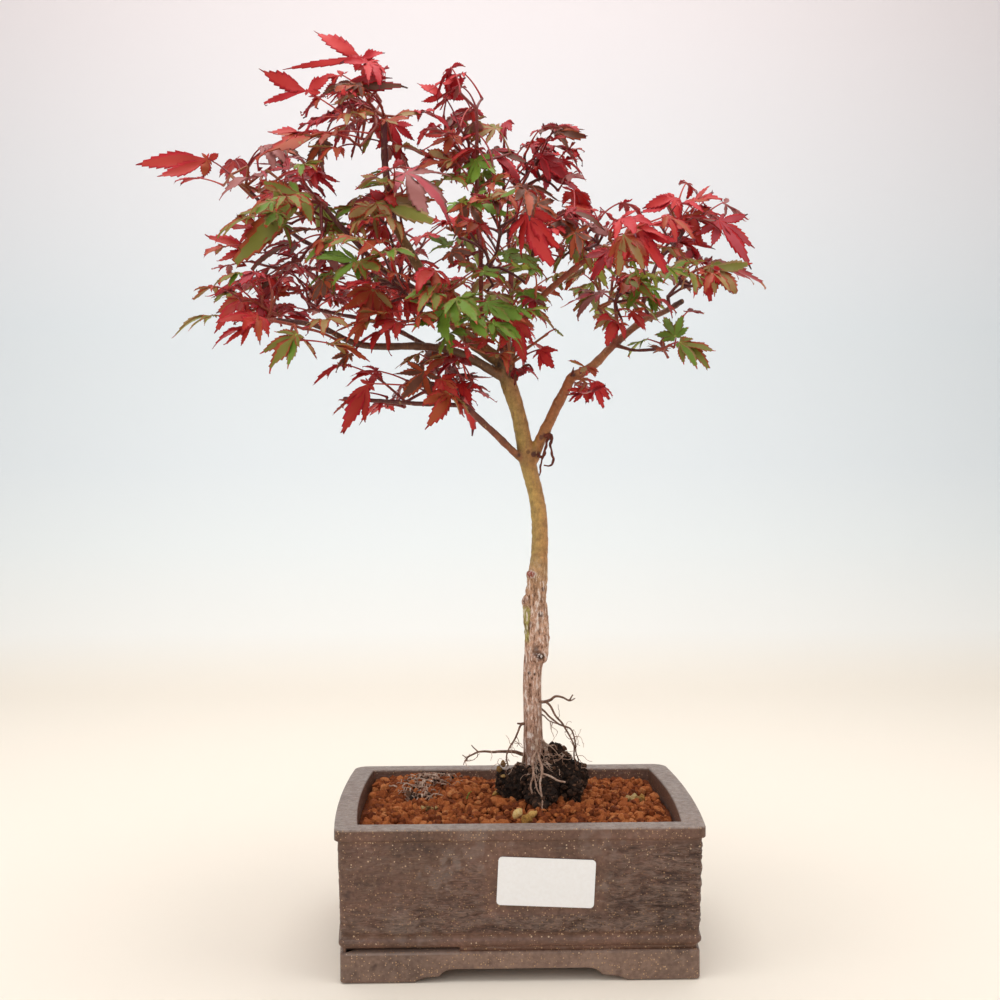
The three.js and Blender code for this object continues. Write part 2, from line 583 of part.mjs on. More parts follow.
// A leaf in one piece: a star of pointed lobes, thick at the hub and thin at its rim,
// with a three-sided stalk that leaves its back edge and ends in the twig.
function leafSolid(leaf) {
  const frame = leafFrame(leaf);
  const corners = [];
  const addRim = (far, degrees) => {
    const turn = THREE.MathUtils.degToRad(degrees);
    corners.push(bladePoint(leaf, frame, far * Math.cos(turn), far * Math.sin(turn)));
  };
  LEAF.lobes.forEach((degrees, lobe) => {
    addRim(leaf.length * LEAF.share[lobe] * leaf.trims[lobe], degrees);
    if (lobe + 1 < LEAF.lobes.length) {
      addRim(leaf.length * LEAF.notch, (degrees + LEAF.lobes[lobe + 1]) / 2);
    }
  });
  const rim = corners.length;
  const back = leaf.hub.clone().addScaledVector(frame.along, -LEAF.base * leaf.length);
  const stalk = leaf.root.clone().sub(back).normalize();
  const across = frame.across.clone().addScaledVector(stalk, -frame.across.dot(stalk)).normalize();
  const over = across.clone().cross(stalk);
  const root = leaf.root.clone().addScaledVector(stalk, STALK.sunk);
  for (const [end, radius] of [[back, STALK.radius], [root, STALK.radius * STALK.swell]]) {
    corners.push(end.clone().addScaledVector(across, radius).addScaledVector(over, radius / 2));
    corners.push(end.clone().addScaledVector(over, -radius));
    corners.push(end.clone().addScaledVector(across, -radius).addScaledVector(over, radius / 2));
  }
  const [left, low, right] = [rim, rim + 1, rim + 2];
  const top = corners.push(leaf.hub.clone().addScaledVector(frame.up, LEAF.thick / 2)) - 1;
  const bottom = corners.push(leaf.hub.clone().addScaledVector(frame.up, -LEAF.thick / 2)) - 1;
  const triangles = [];
  const above = [...Array(rim).keys(), left, right];
  const below = [...Array(rim).keys(), left, low, right];
  above.forEach((corner, k) => triangles.push(top, corner, above[(k + 1) % above.length]));
  below.forEach((corner, k) => triangles.push(bottom, below[(k + 1) % below.length], corner));
  for (const [a, b] of [[left, right], [right, low], [low, left]]) {
    triangles.push(b, a, a + 3, b, a + 3, b + 3);
  }
  triangles.push(left + 3, low + 3, right + 3);
  return solidOf(meshGeometry(corners, triangles));
}

// Spaces: a point belongs to the mass with the nearest site. A mass has sites at its
// foot, along its stem, and at the root, hub and middle of each leaf that shows.

const sites = [];

function inOwnSpace(point, mass, margin) {
  let own = null;
  let ownDistance = Infinity;
  for (const site of sites) {
    const distance = site.at.distanceTo(point);
    if (site.mass === mass && distance < ownDistance) {
      own = site.at;
      ownDistance = distance;
    }
  }
  return sites.every((site) => {
    if (site.mass === mass) {
      return true;
    }
    const apart = own.distanceTo(site.at);
    return (site.at.distanceToSquared(point) - ownDistance ** 2) / (2 * apart) > margin;
  });
}

const limbLines = [];

function nearestOnLine(points, place) {
  let nearest = null;
  for (let k = 0; k + 1 < points.length; k++) {
    const step = new THREE.Line3(points[k], points[k + 1]);
    const spot = step.closestPointToPoint(place, true, new THREE.Vector3());
    if (!nearest || spot.distanceTo(place) < nearest.distanceTo(place)) {
      nearest = spot;
    }
  }
  return nearest;
}

function clearOfLimbs(point, room) {
  const spot = new THREE.Vector3();
  return limbLines.every(({ points, radii }) => {
    for (let k = 0; k + 1 < points.length; k++) {
      const step = new THREE.Line3(points[k], points[k + 1]);
      if (step.closestPointToPoint(point, true, spot).distanceTo(point) < radii[k] + room) {
        return false;
      }
    }
    return true;
  });
}

// Cuts each lobe back until it keeps to its mass's space and clear of the limbs.
function trimLobes(leaf) {
  const frame = leafFrame(leaf);
  for (let lobe = 0; lobe < LEAF.lobes.length; lobe++) {
    leaf.trims[lobe] = TRIMS.find((trim) => {
      leaf.trims[lobe] = trim;
      return [0.5, 1].every((part) => {
        const spot = lobeTip(leaf, frame, lobe, part);
        return inOwnSpace(spot, leaf.mass, BLADE_MARGIN) && clearOfLimbs(spot, LIMB_MARGIN);
      });
    }) ?? 0;
  }
  const shortest = leaf.shown ? TRIMS[4] : TRIMS[3];
  return leaf.trims[MIDDLE_LOBE] >= shortest && leaf.trims.every((trim) => trim > 0);
}

// The stalk runs back from the hub, away from the blade and towards the mass's foot.
function stalkRoot(leaf) {
  const toFoot = leaf.mass.foot.clone().sub(leaf.hub);
  const room = toFoot.length();
  const back = toFoot.normalize().multiplyScalar(STALK_WAY.toFoot)
    .addScaledVector(leaf.along.clone().normalize(), -STALK_WAY.back)
    .addScaledVector(UP, -STALK_WAY.down)
    .normalize();
  const longest = Math.min(STALK.share * leaf.length, STALK.roomShare * room);
  const roots = [1, 0.75, 0.5].map((share) => leaf.hub.clone().addScaledVector(back, share * longest));
  return roots.find((root) => clearOfLimbs(root, STALK.clear)) ?? roots[0];
}

function makeLeaf(mass, hub, along, open) {
  const leaf = { mass, hub, along, open, length: along.length(), trims: LEAF.lobes.map(() => 1) };
  leaf.root = stalkRoot(leaf);
  return leaf;
}

function shownLeaves(mass) {
  return (mass.leaves ?? []).map(([x, y, z, dx, dy, dz, open]) => (
    Object.assign(makeLeaf(mass, vec([x, y, z]), vec([dx, dy, dz]), open), { shown: true })
  ));
}

// Leaves stand in pairs: the partner of a leaf that shows points to the back.
function partnerOf(leaf, draw) {
  const stalk = leaf.hub.clone().sub(leaf.root);
  const hub = leaf.root.clone().add(new THREE.Vector3(
    -PARTNER.across * stalk.x + (draw() - 0.5) * PARTNER.aside,
    Math.abs(stalk.y) + PARTNER.across * Math.abs(stalk.x) + between(draw, PARTNER.behind),
    stalk.z * between(draw, PARTNER.rise),
  ));
  const size = leaf.length * between(draw, PARTNER.size);
  const turn = Math.PI * between(draw, PARTNER.swing);
  const along = new THREE.Vector3(Math.cos(turn), Math.sin(turn), between(draw, PARTNER.dip));
  const partner = makeLeaf(leaf.mass, hub, along.setLength(size), between(draw, PARTNER.open));
  partner.root = leaf.root.clone();
  return partner;
}

// A leaf set by the seed: its hub lies round one of the leaves that show, or anywhere
// in the reach of a mass that has none.
function seededLeaf(mass, draw) {
  const around = mass.leaves ? mass.leaves[Math.floor(draw() * mass.leaves.length)] : mass.middle;
  const offset = new THREE.Vector3(draw() - 0.5, draw() - 0.5, draw() - 0.5);
  offset.setLength(mass.leaves ? 1 : between(draw, SEEDED.share)).multiply(vec(mass.reach ?? SEEDED.reach));
  const hub = vec(around).add(offset);
  const out = hub.clone().sub(mass.foot).setZ(0).normalize();
  out.applyAxisAngle(UP, (draw() - 0.5) * SEEDED.swing);
  out.z = between(draw, SEEDED.dip);
  return makeLeaf(mass, hub, out.setLength(between(draw, SEEDED.length)), between(draw, SEEDED.open));
}

// Whether a twig between two points keeps to its mass's space and passes every limb
// with room to spare.
function openWay(from, to, mass) {
  return [0.3, 0.5, 0.7, 0.85, 1].every((share) => {
    const spot = from.clone().lerp(to, share);
    return clearOfLimbs(spot, TWIG_MARGIN) && inOwnSpace(spot, mass, TWIG_MARGIN);
  });
}

// Joins the leaves to the foot: each root in turn, the nearest first, is joined to the
// nearest joint before it. A joint nearer the foot along the twigs is liked better.
function joinToFoot(mass, leaves) {
  const joints = [{ at: mass.foot, far: 0, parent: null, load: 0 }];
  const order = [...leaves].sort((a, b) => a.root.distanceTo(mass.foot) - b.root.distanceTo(mass.foot));
  for (const leaf of order) {
    const known = joints.find((joint) => joint.at.distanceTo(leaf.root) < TWIG.same);
    if (known) {
      leaf.joint = known;
      continue;
    }
    let best = null;
    let bestCost = Infinity;
    for (const joint of joints) {
      const cost = joint.at.distanceTo(leaf.root) + TWIG.detour * joint.far;
      if (cost < bestCost && openWay(joint.at, leaf.root, mass)) {
        best = joint;
        bestCost = cost;
      }
    }
    if (!best) {
      continue;
    }
    const far = best.far + best.at.distanceTo(leaf.root);
    leaf.joint = { at: leaf.root, far, parent: best, load: 0 };
    joints.push(leaf.joint);
  }
  for (const leaf of order) {
    for (let joint = leaf.joint; joint; joint = joint.parent) {
      joint.load += 1;
    }
  }
  return joints;
}

function twigRadius(joint) {
  return TWIG.radius + TWIG.perLeaf * Math.sqrt(joint.load);
}

// The leaves that a mass grows: those that show, their partners and the seeded ones, less
// each that would crowd another, leave the mass's space or touch a limb.
function growMass(mass) {
  const draw = seededNumbers(mass.seed);
  const shown = shownLeaves(mass);
  const partners = shown.map((leaf) => partnerOf(leaf, draw));
  const seeded = Array.from({ length: mass.more }, () => seededLeaf(mass, draw));
  const leaves = [];
  for (const leaf of [...shown, ...partners, ...seeded]) {
    const room = leaves.every(({ hub }) => hub.distanceTo(leaf.hub) > CROWDING * leaf.length);
    if ((room || leaf.shown) && openWay(leaf.hub, leaf.root, mass) && trimLobes(leaf)) {
      leaves.push(leaf);
    }
  }
  return leaves;
}

// A twig: a thin three-sided rod that runs a little past both its ends.
function twigSolid(from, to, thick) {
  const along = to.clone().sub(from).normalize();
  const start = from.clone().addScaledVector(along, -0.5 * thick);
  const end = to.clone().addScaledVector(along, 0.4 * thick);
  return solidOf(taperedTube([start, end], [thick, thick * TWIG.taper], 3));
}

function largestBody(solid) {
  const bodies = solid.decompose();
  return smoothed(bodies.reduce((best, body) => (body.volume() > best.volume() ? body : best)), THINNED.body);
}

function massSolid(mass, leaves, limbs) {
  const kept = [];
  for (const leaf of leaves) {
    leaf.solid = leafSolid(leaf);
    const apart = kept.every((other) => leaf.solid.intersect(other.solid).volume() < LEAF.overlap);
    if ((apart || leaf.shown) && leaf.solid.intersect(limbs).isEmpty()) {
      kept.push(leaf);
    }
  }
  const joints = joinToFoot(mass, kept);
  const parts = kept.filter(({ joint }) => joint).map((leaf) => leaf.solid);
  for (const joint of joints) {
    if (joint.parent) {
      parts.push(twigSolid(joint.parent.at, joint.at, twigRadius(joint)).subtract(limbs));
    } else {
      parts.push(twigSolid(mass.start, mass.foot, twigRadius(joint)).subtract(limbs));
    }
  }
  return largestBody(smoothed(wasm.Manifold.union(parts), THINNED.twigs).subtract(limbs));
}

// Assembly

const bonsai = new THREE.Group();

function place(name, geometry, material) {
  const mesh = new THREE.Mesh(geometry, material);
  mesh.name = name;
  bonsai.add(mesh);
  return mesh;
}

const trunk = trunkSolid(0);
const grownTrunk = trunkSolid(CLEAR);
const grownLimbs = { trunk: grownTrunk };
const peat = peatSolid(0).trimByPlane([0, 0, 1], PEAT.foot).subtract(grownTrunk);
const peatHole = peatSolid(CLEAR).trimByPlane([0, 0, 1], PEAT.foot - CLEAR);
const soilInPlace = soilSolid().subtract(peatHole).subtract(grownTrunk);

place('pot', potGeometry(), finishes.pot);
place('foot_tray', trayGeometry(), finishes.pot);
place('soil', geometryOf(soilInPlace), finishes.soil);
place('root_ball_peat', geometryOf(largestBody(peat)), finishes.peat);
place('trunk', geometryOf(smoothed(trunk, THINNED.trunk)), finishes.bark);

const label = place('label', labelGeometry(), finishes.label);
label.position.set(LABEL.x, frontWallAt(LABEL.z) - LABEL.gap, LABEL.z);
label.rotation.x = Math.atan2(WALL.footInset - RIM.overhang, WALL.top - BEAD.high);

for (const limb of LIMBS) {
  let solid = limbSolid(limb, 0);
  for (const other of Object.values(grownLimbs)) {
    solid = solid.subtract(other);
  }
  grownLimbs[limb.name] = limbSolid(limb, CLEAR);
  const old = limb.radii[0] > OLD_WOOD;
  place(limb.name, geometryOf(largestBody(solid)), old ? finishes.bark : finishes.youngBark);
}

limbLines.push({ points: TRUNK.map(vec), radii: TRUNK.map(([, , , radius]) => radius) });
limbLines.push(...LIMBS.map(limbLine));

// A mass starts just off its limb's tip, or beside it where it names its own foot.
for (const mass of MASSES) {
  const limb = LIMBS.find(({ name }) => name === mass.on);
  const points = limb ? limbLine(limb).points : TRUNK.map(vec);
  const tip = points[points.length - 1];
  if (mass.foot) {
    mass.foot = vec(mass.foot);
    mass.start = nearestOnLine(points, mass.foot);
  } else {
    const way = tip.clone().sub(points[points.length - 2]).normalize();
    mass.start = tip.clone().addScaledVector(way, -STEM.sunk);
    mass.foot = tip.clone().addScaledVector(way, STEM.length);
  }
}
for (const mass of MASSES) {
  const shown = shownLeaves(mass);
  for (const leaf of shown) {
    sites.push({ mass, at: leaf.hub }, { mass, at: leaf.root });
    sites.push({ mass, at: leaf.hub.clone().addScaledVector(leaf.along, 0.5) });
  }
  const reached = [mass.foot];
  const roots = [...shown.map(({ root }) => root), ...(mass.middle ? [vec(mass.middle)] : [])];
  for (const root of roots.sort((a, b) => a.distanceTo(mass.foot) - b.distanceTo(mass.foot))) {
    const [nearest] = [...reached].sort((a, b) => a.distanceTo(root) - b.distanceTo(root));
    const steps = Math.floor(nearest.distanceTo(root) / STEM.step);
    for (let k = 1; k < steps; k++) {
      sites.push({ mass, at: nearest.clone().lerp(root, k / steps) });
    }
    reached.push(root);
  }
  if (mass.middle) {
    sites.push({ mass, at: vec(mass.middle) });
  }
  sites.push({ mass, at: mass.foot });
}

const allLimbs = wasm.Manifold.union(Object.values(grownLimbs));
for (const mass of MASSES) {
  place(mass.name, geometryOf(massSolid(mass, growMass(mass), allLimbs)), finishes[mass.tint]);
}

// The origin goes under the middle of the whole thing.
const middle = new THREE.Box3().setFromObject(bonsai).getCenter(new THREE.Vector3());
for (const mesh of bonsai.children) {
  mesh.position.x -= middle.x;
  mesh.position.y -= middle.y;
}

export default bonsai;
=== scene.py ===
# %% [markdown]
# A small maple grown as a bonsai, in its brown moulded pot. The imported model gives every
# size: this file dresses it. The pot, the soil, the bark, the twigs and the leaves are
# each made as meshes in code, in metres, and each stands in for the plain solid below it.

import json
import math

import bmesh
import bpy
import numpy as np
from mathutils import Matrix, Vector
from mathutils.bvhtree import BVHTree

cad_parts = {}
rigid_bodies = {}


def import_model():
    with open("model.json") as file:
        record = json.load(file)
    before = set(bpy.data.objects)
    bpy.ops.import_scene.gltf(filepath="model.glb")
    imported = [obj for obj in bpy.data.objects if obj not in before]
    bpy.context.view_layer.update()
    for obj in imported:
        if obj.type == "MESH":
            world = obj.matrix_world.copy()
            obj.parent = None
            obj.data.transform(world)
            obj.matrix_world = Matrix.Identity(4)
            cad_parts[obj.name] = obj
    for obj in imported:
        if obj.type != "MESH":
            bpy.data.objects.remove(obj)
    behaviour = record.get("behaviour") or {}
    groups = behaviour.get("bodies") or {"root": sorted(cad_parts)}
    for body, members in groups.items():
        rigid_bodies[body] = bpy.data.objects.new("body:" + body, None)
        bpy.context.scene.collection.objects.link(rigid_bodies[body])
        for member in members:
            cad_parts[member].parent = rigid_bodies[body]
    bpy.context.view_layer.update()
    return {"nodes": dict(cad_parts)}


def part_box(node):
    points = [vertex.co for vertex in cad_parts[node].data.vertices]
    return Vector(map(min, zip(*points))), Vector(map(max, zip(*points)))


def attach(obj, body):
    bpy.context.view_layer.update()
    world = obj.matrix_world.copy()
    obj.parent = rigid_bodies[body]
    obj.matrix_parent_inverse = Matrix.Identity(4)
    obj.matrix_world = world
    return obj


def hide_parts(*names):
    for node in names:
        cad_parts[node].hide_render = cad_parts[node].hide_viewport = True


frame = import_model()
pot_low, pot_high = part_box("pot")
POT_MIDDLE = np.array([(pot_low.x + pot_high.x) / 2, (pot_low.y + pot_high.y) / 2, 0.0])
print("pot middle", POT_MIDDLE.round(4), "nodes", len(frame["nodes"]))

# %% [markdown]
# All tables below are in millimetres from the middle of the pot's underside, as a maker
# would measure them. One function moves such points into the scene, in metres.

# %% Places and objects
MM = 0.001
UP = np.array([0.0, 0.0, 1.0])
FRONT = np.array([0.0, -1.0, 0.0])


def placed(points):
    """Points in millimetres from the pot's middle, as metres in the scene."""
    return np.asarray(points, float) * MM + POT_MIDDLE


def unit(vectors):
    """Vectors of length one."""
    vectors = np.asarray(vectors, float)
    return vectors / np.maximum(np.linalg.norm(vectors, axis=-1, keepdims=True), 1e-9)


def add_object(name, data):
    """Puts a mesh, a light or a camera into the scene."""
    made = bpy.data.objects.new(name, data)
    bpy.context.scene.collection.objects.link(made)
    return made


print("one millimetre is", MM, "in the scene")

# %% [markdown]
# A finish is a tree of nodes. Each node turns values into others: a noise, a range, a
# colour along a ramp. Colours are given as hex values, as a painter would pick them, and
# are turned to the linear light that a shader reckons with.

# %% Colours and nodes
def linear(colour):
    """An sRGB hex colour as the linear red, green, blue and alpha that shaders want."""
    parts = [int(colour[k:k + 2], 16) / 255 for k in (1, 3, 5)]
    return tuple(p / 12.92 if p <= 0.04045 else ((p + 0.055) / 1.055) ** 2.4 for p in parts) + (1.0,)


def per_metre(size_mm):
    """The scale of a pattern whose features are that many millimetres apart."""
    return 1000 / size_mm


def set_inputs(node, inputs):
    """Gives each input of a node its value, or links it to the output that it is given."""
    for name, value in inputs.items():
        if isinstance(value, bpy.types.NodeSocket):
            node.id_data.links.new(value, node.inputs[name])
        else:
            node.inputs[name].default_value = value


def add_node(tree, kind, inputs=None, out=0, stops=(), **settings):
    """Adds a node and returns one of its outputs. Stops are the colours along a ramp."""
    made = tree.nodes.new("ShaderNode" + kind)
    for name, value in settings.items():
        setattr(made, name, value)
    set_inputs(made, inputs or {})
    if stops:
        elements = made.color_ramp.elements
        while len(elements) < len(stops):
            elements.new(0.5)
        for element, (position, colour) in zip(elements, stops):
            element.position = position
            element.color = linear(colour)
    return made.outputs[out]


def coats(tree, base, layers):
    """Lays colours over a base colour in turn, each as strongly as its share says."""
    for colour, share in layers:
        over = linear(colour) if isinstance(colour, str) else colour
        base = add_node(tree, "Mix", {6: base, 7: over, "Factor": share}, 2, data_type="RGBA")
    return base


def new_material(name, colour, roughness, **sockets):
    """A material with one Principled shader. Returns it with its tree and that shader."""
    made = bpy.data.materials.new(name)
    made.use_nodes = True
    surface = made.node_tree.nodes["Principled BSDF"]
    set_inputs(surface, {"Base Color": linear(colour), "Roughness": roughness})
    set_inputs(surface, {socket.replace("_", " "): value for socket, value in sockets.items()})
    made.diffuse_color = linear(colour)
    return made, made.node_tree, surface


print("a mid brown in linear light", [round(v, 3) for v in linear("#8b6756")])

# %% [markdown]
# Most pieces are grown as arrays of points and faces. This holds them while they are
# gathered, and turns them into one joined mesh with a material for each face.

# %% Gather points and faces
class Gathered:
    """Points in pot millimetres, with faces of three and four corners, and their finishes."""

    def __init__(self):
        self.points = []
        self.faces = {3: [], 4: []}
        self.tints = {3: [], 4: []}
        self.tones = []
        self.count = 0

    def add(self, points, faces, tones=None, tints=(0, 0, 0)):
        """Adds points, and arrays of faces whose corners count from 0, each with a finish."""
        points = np.asarray(points, float).reshape(-1, 3)
        for block, tint in zip(faces, tints):
            block = np.asarray(block, int)
            self.faces[block.shape[1]].append(block + self.count)
            self.tints[block.shape[1]].append(np.broadcast_to(tint, len(block)))
        self.points.append(points)
        if tones is not None:
            self.tones.append(np.broadcast_to(tones, len(points)))
        self.count += len(points)
        return self


def closed_rings(rings, ends=None):
    """Joins rings of equally many points with squares, and closes both ends with fans."""
    around = len(rings[0])
    hub = len(rings) * around
    top = hub - around
    ends = ends or [rings[0].mean(0), rings[-1].mean(0)]
    k = np.arange(around)
    following = (k + 1) % around
    ring = np.arange(len(rings) - 1)[:, None] * around
    here = (ring + k).ravel()
    beside = (ring + following).ravel()
    return np.concatenate([*rings, ends]), [
        np.stack([here, beside, beside + around, here + around], 1),
        np.stack([np.full(around, hub), following, k], 1),
        np.stack([np.full(around, hub + 1), top + k, top + following], 1)]


END_BULGE = 0.6


def tube(points, radii, sides):
    """A closed round tube through the points. Returns its points and its faces."""
    points = np.asarray(points, float)
    along = unit(np.gradient(points, axis=0))
    across = np.array([1.0, 0, 0]) if abs(along[0, 0]) < 0.8 else np.array([0, 1.0, 0])
    turn = 2 * math.pi * np.arange(sides) / sides
    rings = []
    for spot, way, radius in zip(points, along, radii):
        across = unit(across - way * across.dot(way))
        other = np.cross(way, across)
        rings.append(spot + radius * (np.outer(np.cos(turn), across) + np.outer(np.sin(turn), other)))
    return closed_rings(rings, [points[0] - along[0] * radii[0] * END_BULGE,
                                points[-1] + along[-1] * radii[-1] * END_BULGE])


print("points of a tube with three rings", len(tube(np.eye(3), [1, 1, 1], 8)[0]))

# %% Turn what was gathered into a mesh
def add_values(made, name, values):
    """Stores one number for each point of the mesh, which a material reads by its name."""
    stored = made.data.attributes.new(name, "FLOAT", "POINT")
    stored.data.foreach_set("value", np.ascontiguousarray(values, np.float32))


def piece(name, gathered, materials, smooth=True):
    """One joined mesh object from what was gathered."""
    sizes = [size for size in (3, 4) if gathered.faces[size]]
    blocks = [np.concatenate(gathered.faces[size]) for size in sizes]
    counts = np.concatenate([np.full(len(block), size) for size, block in zip(sizes, blocks)])
    corners = np.concatenate([block.ravel() for block in blocks])
    tints = np.concatenate([tint for size in sizes for tint in gathered.tints[size]])
    points = placed(np.concatenate(gathered.points))
    mesh = bpy.data.meshes.new(name)
    mesh.vertices.add(len(points))
    mesh.loops.add(len(corners))
    mesh.polygons.add(len(counts))
    for part, setting, values, kind in (
            (mesh.vertices, "co", points, np.float32),
            (mesh.loops, "vertex_index", corners, np.int32),
            (mesh.polygons, "loop_start", np.cumsum(counts) - counts, np.int32),
            (mesh.polygons, "material_index", tints, np.int32),
            (mesh.polygons, "use_smooth", np.full(len(counts), smooth), bool)):
        part.foreach_set(setting, values.ravel().astype(kind))
    mesh.update(calc_edges=True)
    mesh.validate()
    for material in materials:
        mesh.materials.append(material)
    made = add_object(name, mesh)
    if gathered.tones:
        add_values(made, "tone", np.concatenate(gathered.tones))
    print(name, len(points), "points", len(corners) - 2 * len(counts), "triangles")
    return made


def mesh_points(made):
    """A mesh's points in millimetres from the pot's middle, and the way each one faces."""
    found = []
    for source, setting in ((made.data.vertices, "co"), (made.data.vertex_normals, "vector")):
        values = np.empty(len(source) * 3, np.float32)
        source.foreach_get(setting, values)
        found.append(values.reshape(-1, 3).astype(float))
    return (found[0] - POT_MIDDLE) / MM, found[1]


def move_points(made, points):
    made.data.vertices.foreach_set("co", placed(points).ravel().astype(np.float32))
    made.data.update()


def apply_modifiers(made):
    """Makes what the modifiers show the object's own mesh."""
    graph = bpy.context.evaluated_depsgraph_get()
    graph.update()
    mesh = bpy.data.meshes.new_from_object(made.evaluated_get(graph))
    made.modifiers.clear()
    made.data = mesh


# %% [markdown]
# Real surfaces are uneven at several sizes at once. Noise here is a value at each corner
# of a grid of cubes, blended between them, and summed at finer and finer cubes. It moves
# points, so the relief is in the outline too and not only painted on.

# %% Noise for shapes
def grid_noise(points, size, seed):
    """Smooth noise from -1 to 1 whose bumps are about `size` across."""
    spots = np.asarray(points, float) / size
    low = np.floor(spots).astype(np.int64)
    part = spots - low
    part = part * part * (3 - 2 * part)
    total = np.zeros(len(spots))
    for corner in range(8):
        step = np.array([corner & 1, corner >> 1 & 1, corner >> 2 & 1])
        cell = (low + step) & 0xFFFF
        mixed = (cell[:, 0] * 73856093) ^ (cell[:, 1] * 19349663) ^ (cell[:, 2] * 83492791)
        mixed = mixed ^ (seed * 2654435761)
        mixed = (mixed ^ (mixed >> 13)) * 1274126177 & 0xFFFFFFFF
        mixed = (mixed ^ (mixed >> 16)) & 0xFFFF
        weight = np.prod(np.where(step == 1, part, 1 - part), axis=1)
        total += weight * (mixed / 32767.5 - 1)
    return total


def layered_noise(points, size, seed, layers=3):
    """Noise at that size, and at half of it, and so on, each half as strong."""
    return sum(grid_noise(points, size / 2 ** layer, seed + layer) / 2 ** layer for layer in range(layers))


def three_noises(points, size, seed):
    """A vector of noise at each point, from three seeds in a row."""
    return np.stack([grid_noise(points, size, seed + k) for k in range(3)], 1)


def step_between(value, low, high):
    """0 below `low`, 1 above `high`, and smooth between."""
    part = np.clip((value - low) / (high - low), 0, 1)
    return part * part * (3 - 2 * part)


print("noise at three places", grid_noise(np.eye(3) * 7.5, 2.0, 1).round(2))

# %% [markdown]
# The camera stands where the photograph was taken: about 0.7 m in front of the pot, a
# little left of it, at half the height of the tree, looking slightly down. The lens comes
# from how the pot's rim narrows towards its back.

# %% Camera
CAMERA_PLACE = (-29.2, -717.5, 264.9)
CAMERA_YAW = 1.661
CAMERA_PITCH = 1.524
CAMERA_ROLL = -0.089
CAMERA_LENS = 46.12

lens = bpy.data.cameras.new("camera")
lens.lens = CAMERA_LENS
lens.sensor_width = 36
lens.clip_start = 0.05
camera = add_object("camera", lens)
look = (Matrix.Rotation(math.radians(-CAMERA_YAW), 4, "Z")
        @ Matrix.Rotation(math.radians(90 - CAMERA_PITCH), 4, "X")
        @ Matrix.Rotation(math.radians(CAMERA_ROLL), 4, "Z"))
camera.matrix_world = Matrix.Translation(Vector(placed(CAMERA_PLACE))) @ look
bpy.context.scene.camera = camera
# Colours are shown as they are, with no film curve, so a hex value means what it says.
bpy.context.scene.view_settings.view_transform = "Standard"
print("camera at", [round(v, 3) for v in camera.location])

# %% [markdown]
# A bonsai is shown on a pale table before a sheet of paper that curves up behind it, so
# no line shows between floor and wall. Painted light tints the plain paper by height: warm
# white at the foot, a cold pale blue behind the tree and faintly pink at the top.

# %% Floor and backdrop
SWEEP = {"half_width": 2.2, "front": -1.6, "bend": 0.75, "radius": 0.45, "top": 1.9, "steps": 16}
# Painted light: the tints and falloff of the tent's light on the plain paper, from the foot up.
SWEEP_LIGHT_TINTS = [(0.0, "#fdf2e2"), (0.05, "#fbf8f1"), (0.16, "#f2f5f3"), (0.28, "#eaeff1"),
                 (0.5, "#e6ecf0"), (1.0, "#f3ebec")]


def sweep_outline():
    """The floor's way back and up the wall, as points in y and z."""
    points = [(SWEEP["front"], 0.0), (SWEEP["bend"], 0.0)]
    for step in range(1, SWEEP["steps"] + 1):
        turn = math.pi / 2 * step / SWEEP["steps"]
        points.append((SWEEP["bend"] + SWEEP["radius"] * math.sin(turn),
                       SWEEP["radius"] * (1 - math.cos(turn))))
    return points + [(SWEEP["bend"] + SWEEP["radius"], SWEEP["top"])]


paper, tree, surface = new_material("matt_paper_sweep", "#eeebe6", 0.9)
place = add_node(tree, "NewGeometry", out="Position")
height = add_node(tree, "SeparateXYZ", {"Vector": place}, "Z")
part = add_node(tree, "MapRange", {"Value": height, "From Max": SWEEP["top"] / 2})
# The paper's colour by height is painted light.
set_inputs(surface, {"Base Color": add_node(tree, "ValToRGB", {"Fac": part}, stops=SWEEP_LIGHT_TINTS)})

outline = sweep_outline()
faces = [(2 * k, 2 * k + 1, 2 * k + 3, 2 * k + 2) for k in range(len(outline) - 1)]
mesh = bpy.data.meshes.new("paper_sweep")
mesh.from_pydata([(x * SWEEP["half_width"], y, z) for y, z in outline for x in (-1, 1)], [], faces)
mesh.polygons.foreach_set("use_smooth", [True] * len(faces))
mesh.materials.append(paper)
sweep = add_object("paper_sweep", mesh)
print("sweep faces", len(faces))

# %% [markdown]
# The tree stood in a light tent: soft light from above and from both sides, a little from
# the front, and a bright wall behind that shines through the edges of the leaves.

# %% Lights
LIGHTS = [
    ("overhead_softbox", (0.0, -0.15, 1.25), (0.0, 0.0, 0.25), 1.1, 8.5),
    ("left_softbox", (-1.15, -0.55, 0.65), (0.0, 0.0, 0.25), 0.9, 4.2),
    ("right_softbox", (1.15, -0.45, 0.7), (0.0, 0.0, 0.25), 0.9, 3.6),
    ("front_softbox", (-0.25, -1.35, 0.75), (0.0, 0.0, 0.22), 0.9, 3.4),
    ("wall_light", (0.0, 0.35, 1.35), (0.0, 1.2, 0.35), 1.2, 5.5),
]
for name, place, target, size, power in LIGHTS:
    light = bpy.data.lights.new(name, "AREA")
    light.size = size
    light.energy = power
    made = add_object(name, light)
    made.location = place
    made.rotation_euler = (Vector(target) - Vector(place)).to_track_quat("-Z", "Y").to_euler()

world = bpy.data.worlds.new("light_tent")
world.use_nodes = True
set_inputs(world.node_tree.nodes["Background"], {"Color": linear("#f2f4f8"), "Strength": 0.3})
bpy.context.scene.world = world
print("lights", len(LIGHTS))

# %% [markdown]
# The pot is moulded ABS plastic with mica flakes in it. It is one shell with a rim, a
# bead above a cove, and a tray with cloud-shaped feet below. Both are lofts: one plan,
# drawn at each height of a profile. The moulder pressed a rippled, bark-like relief into
# the walls, so the loft is fine enough to carry it as real bumps.

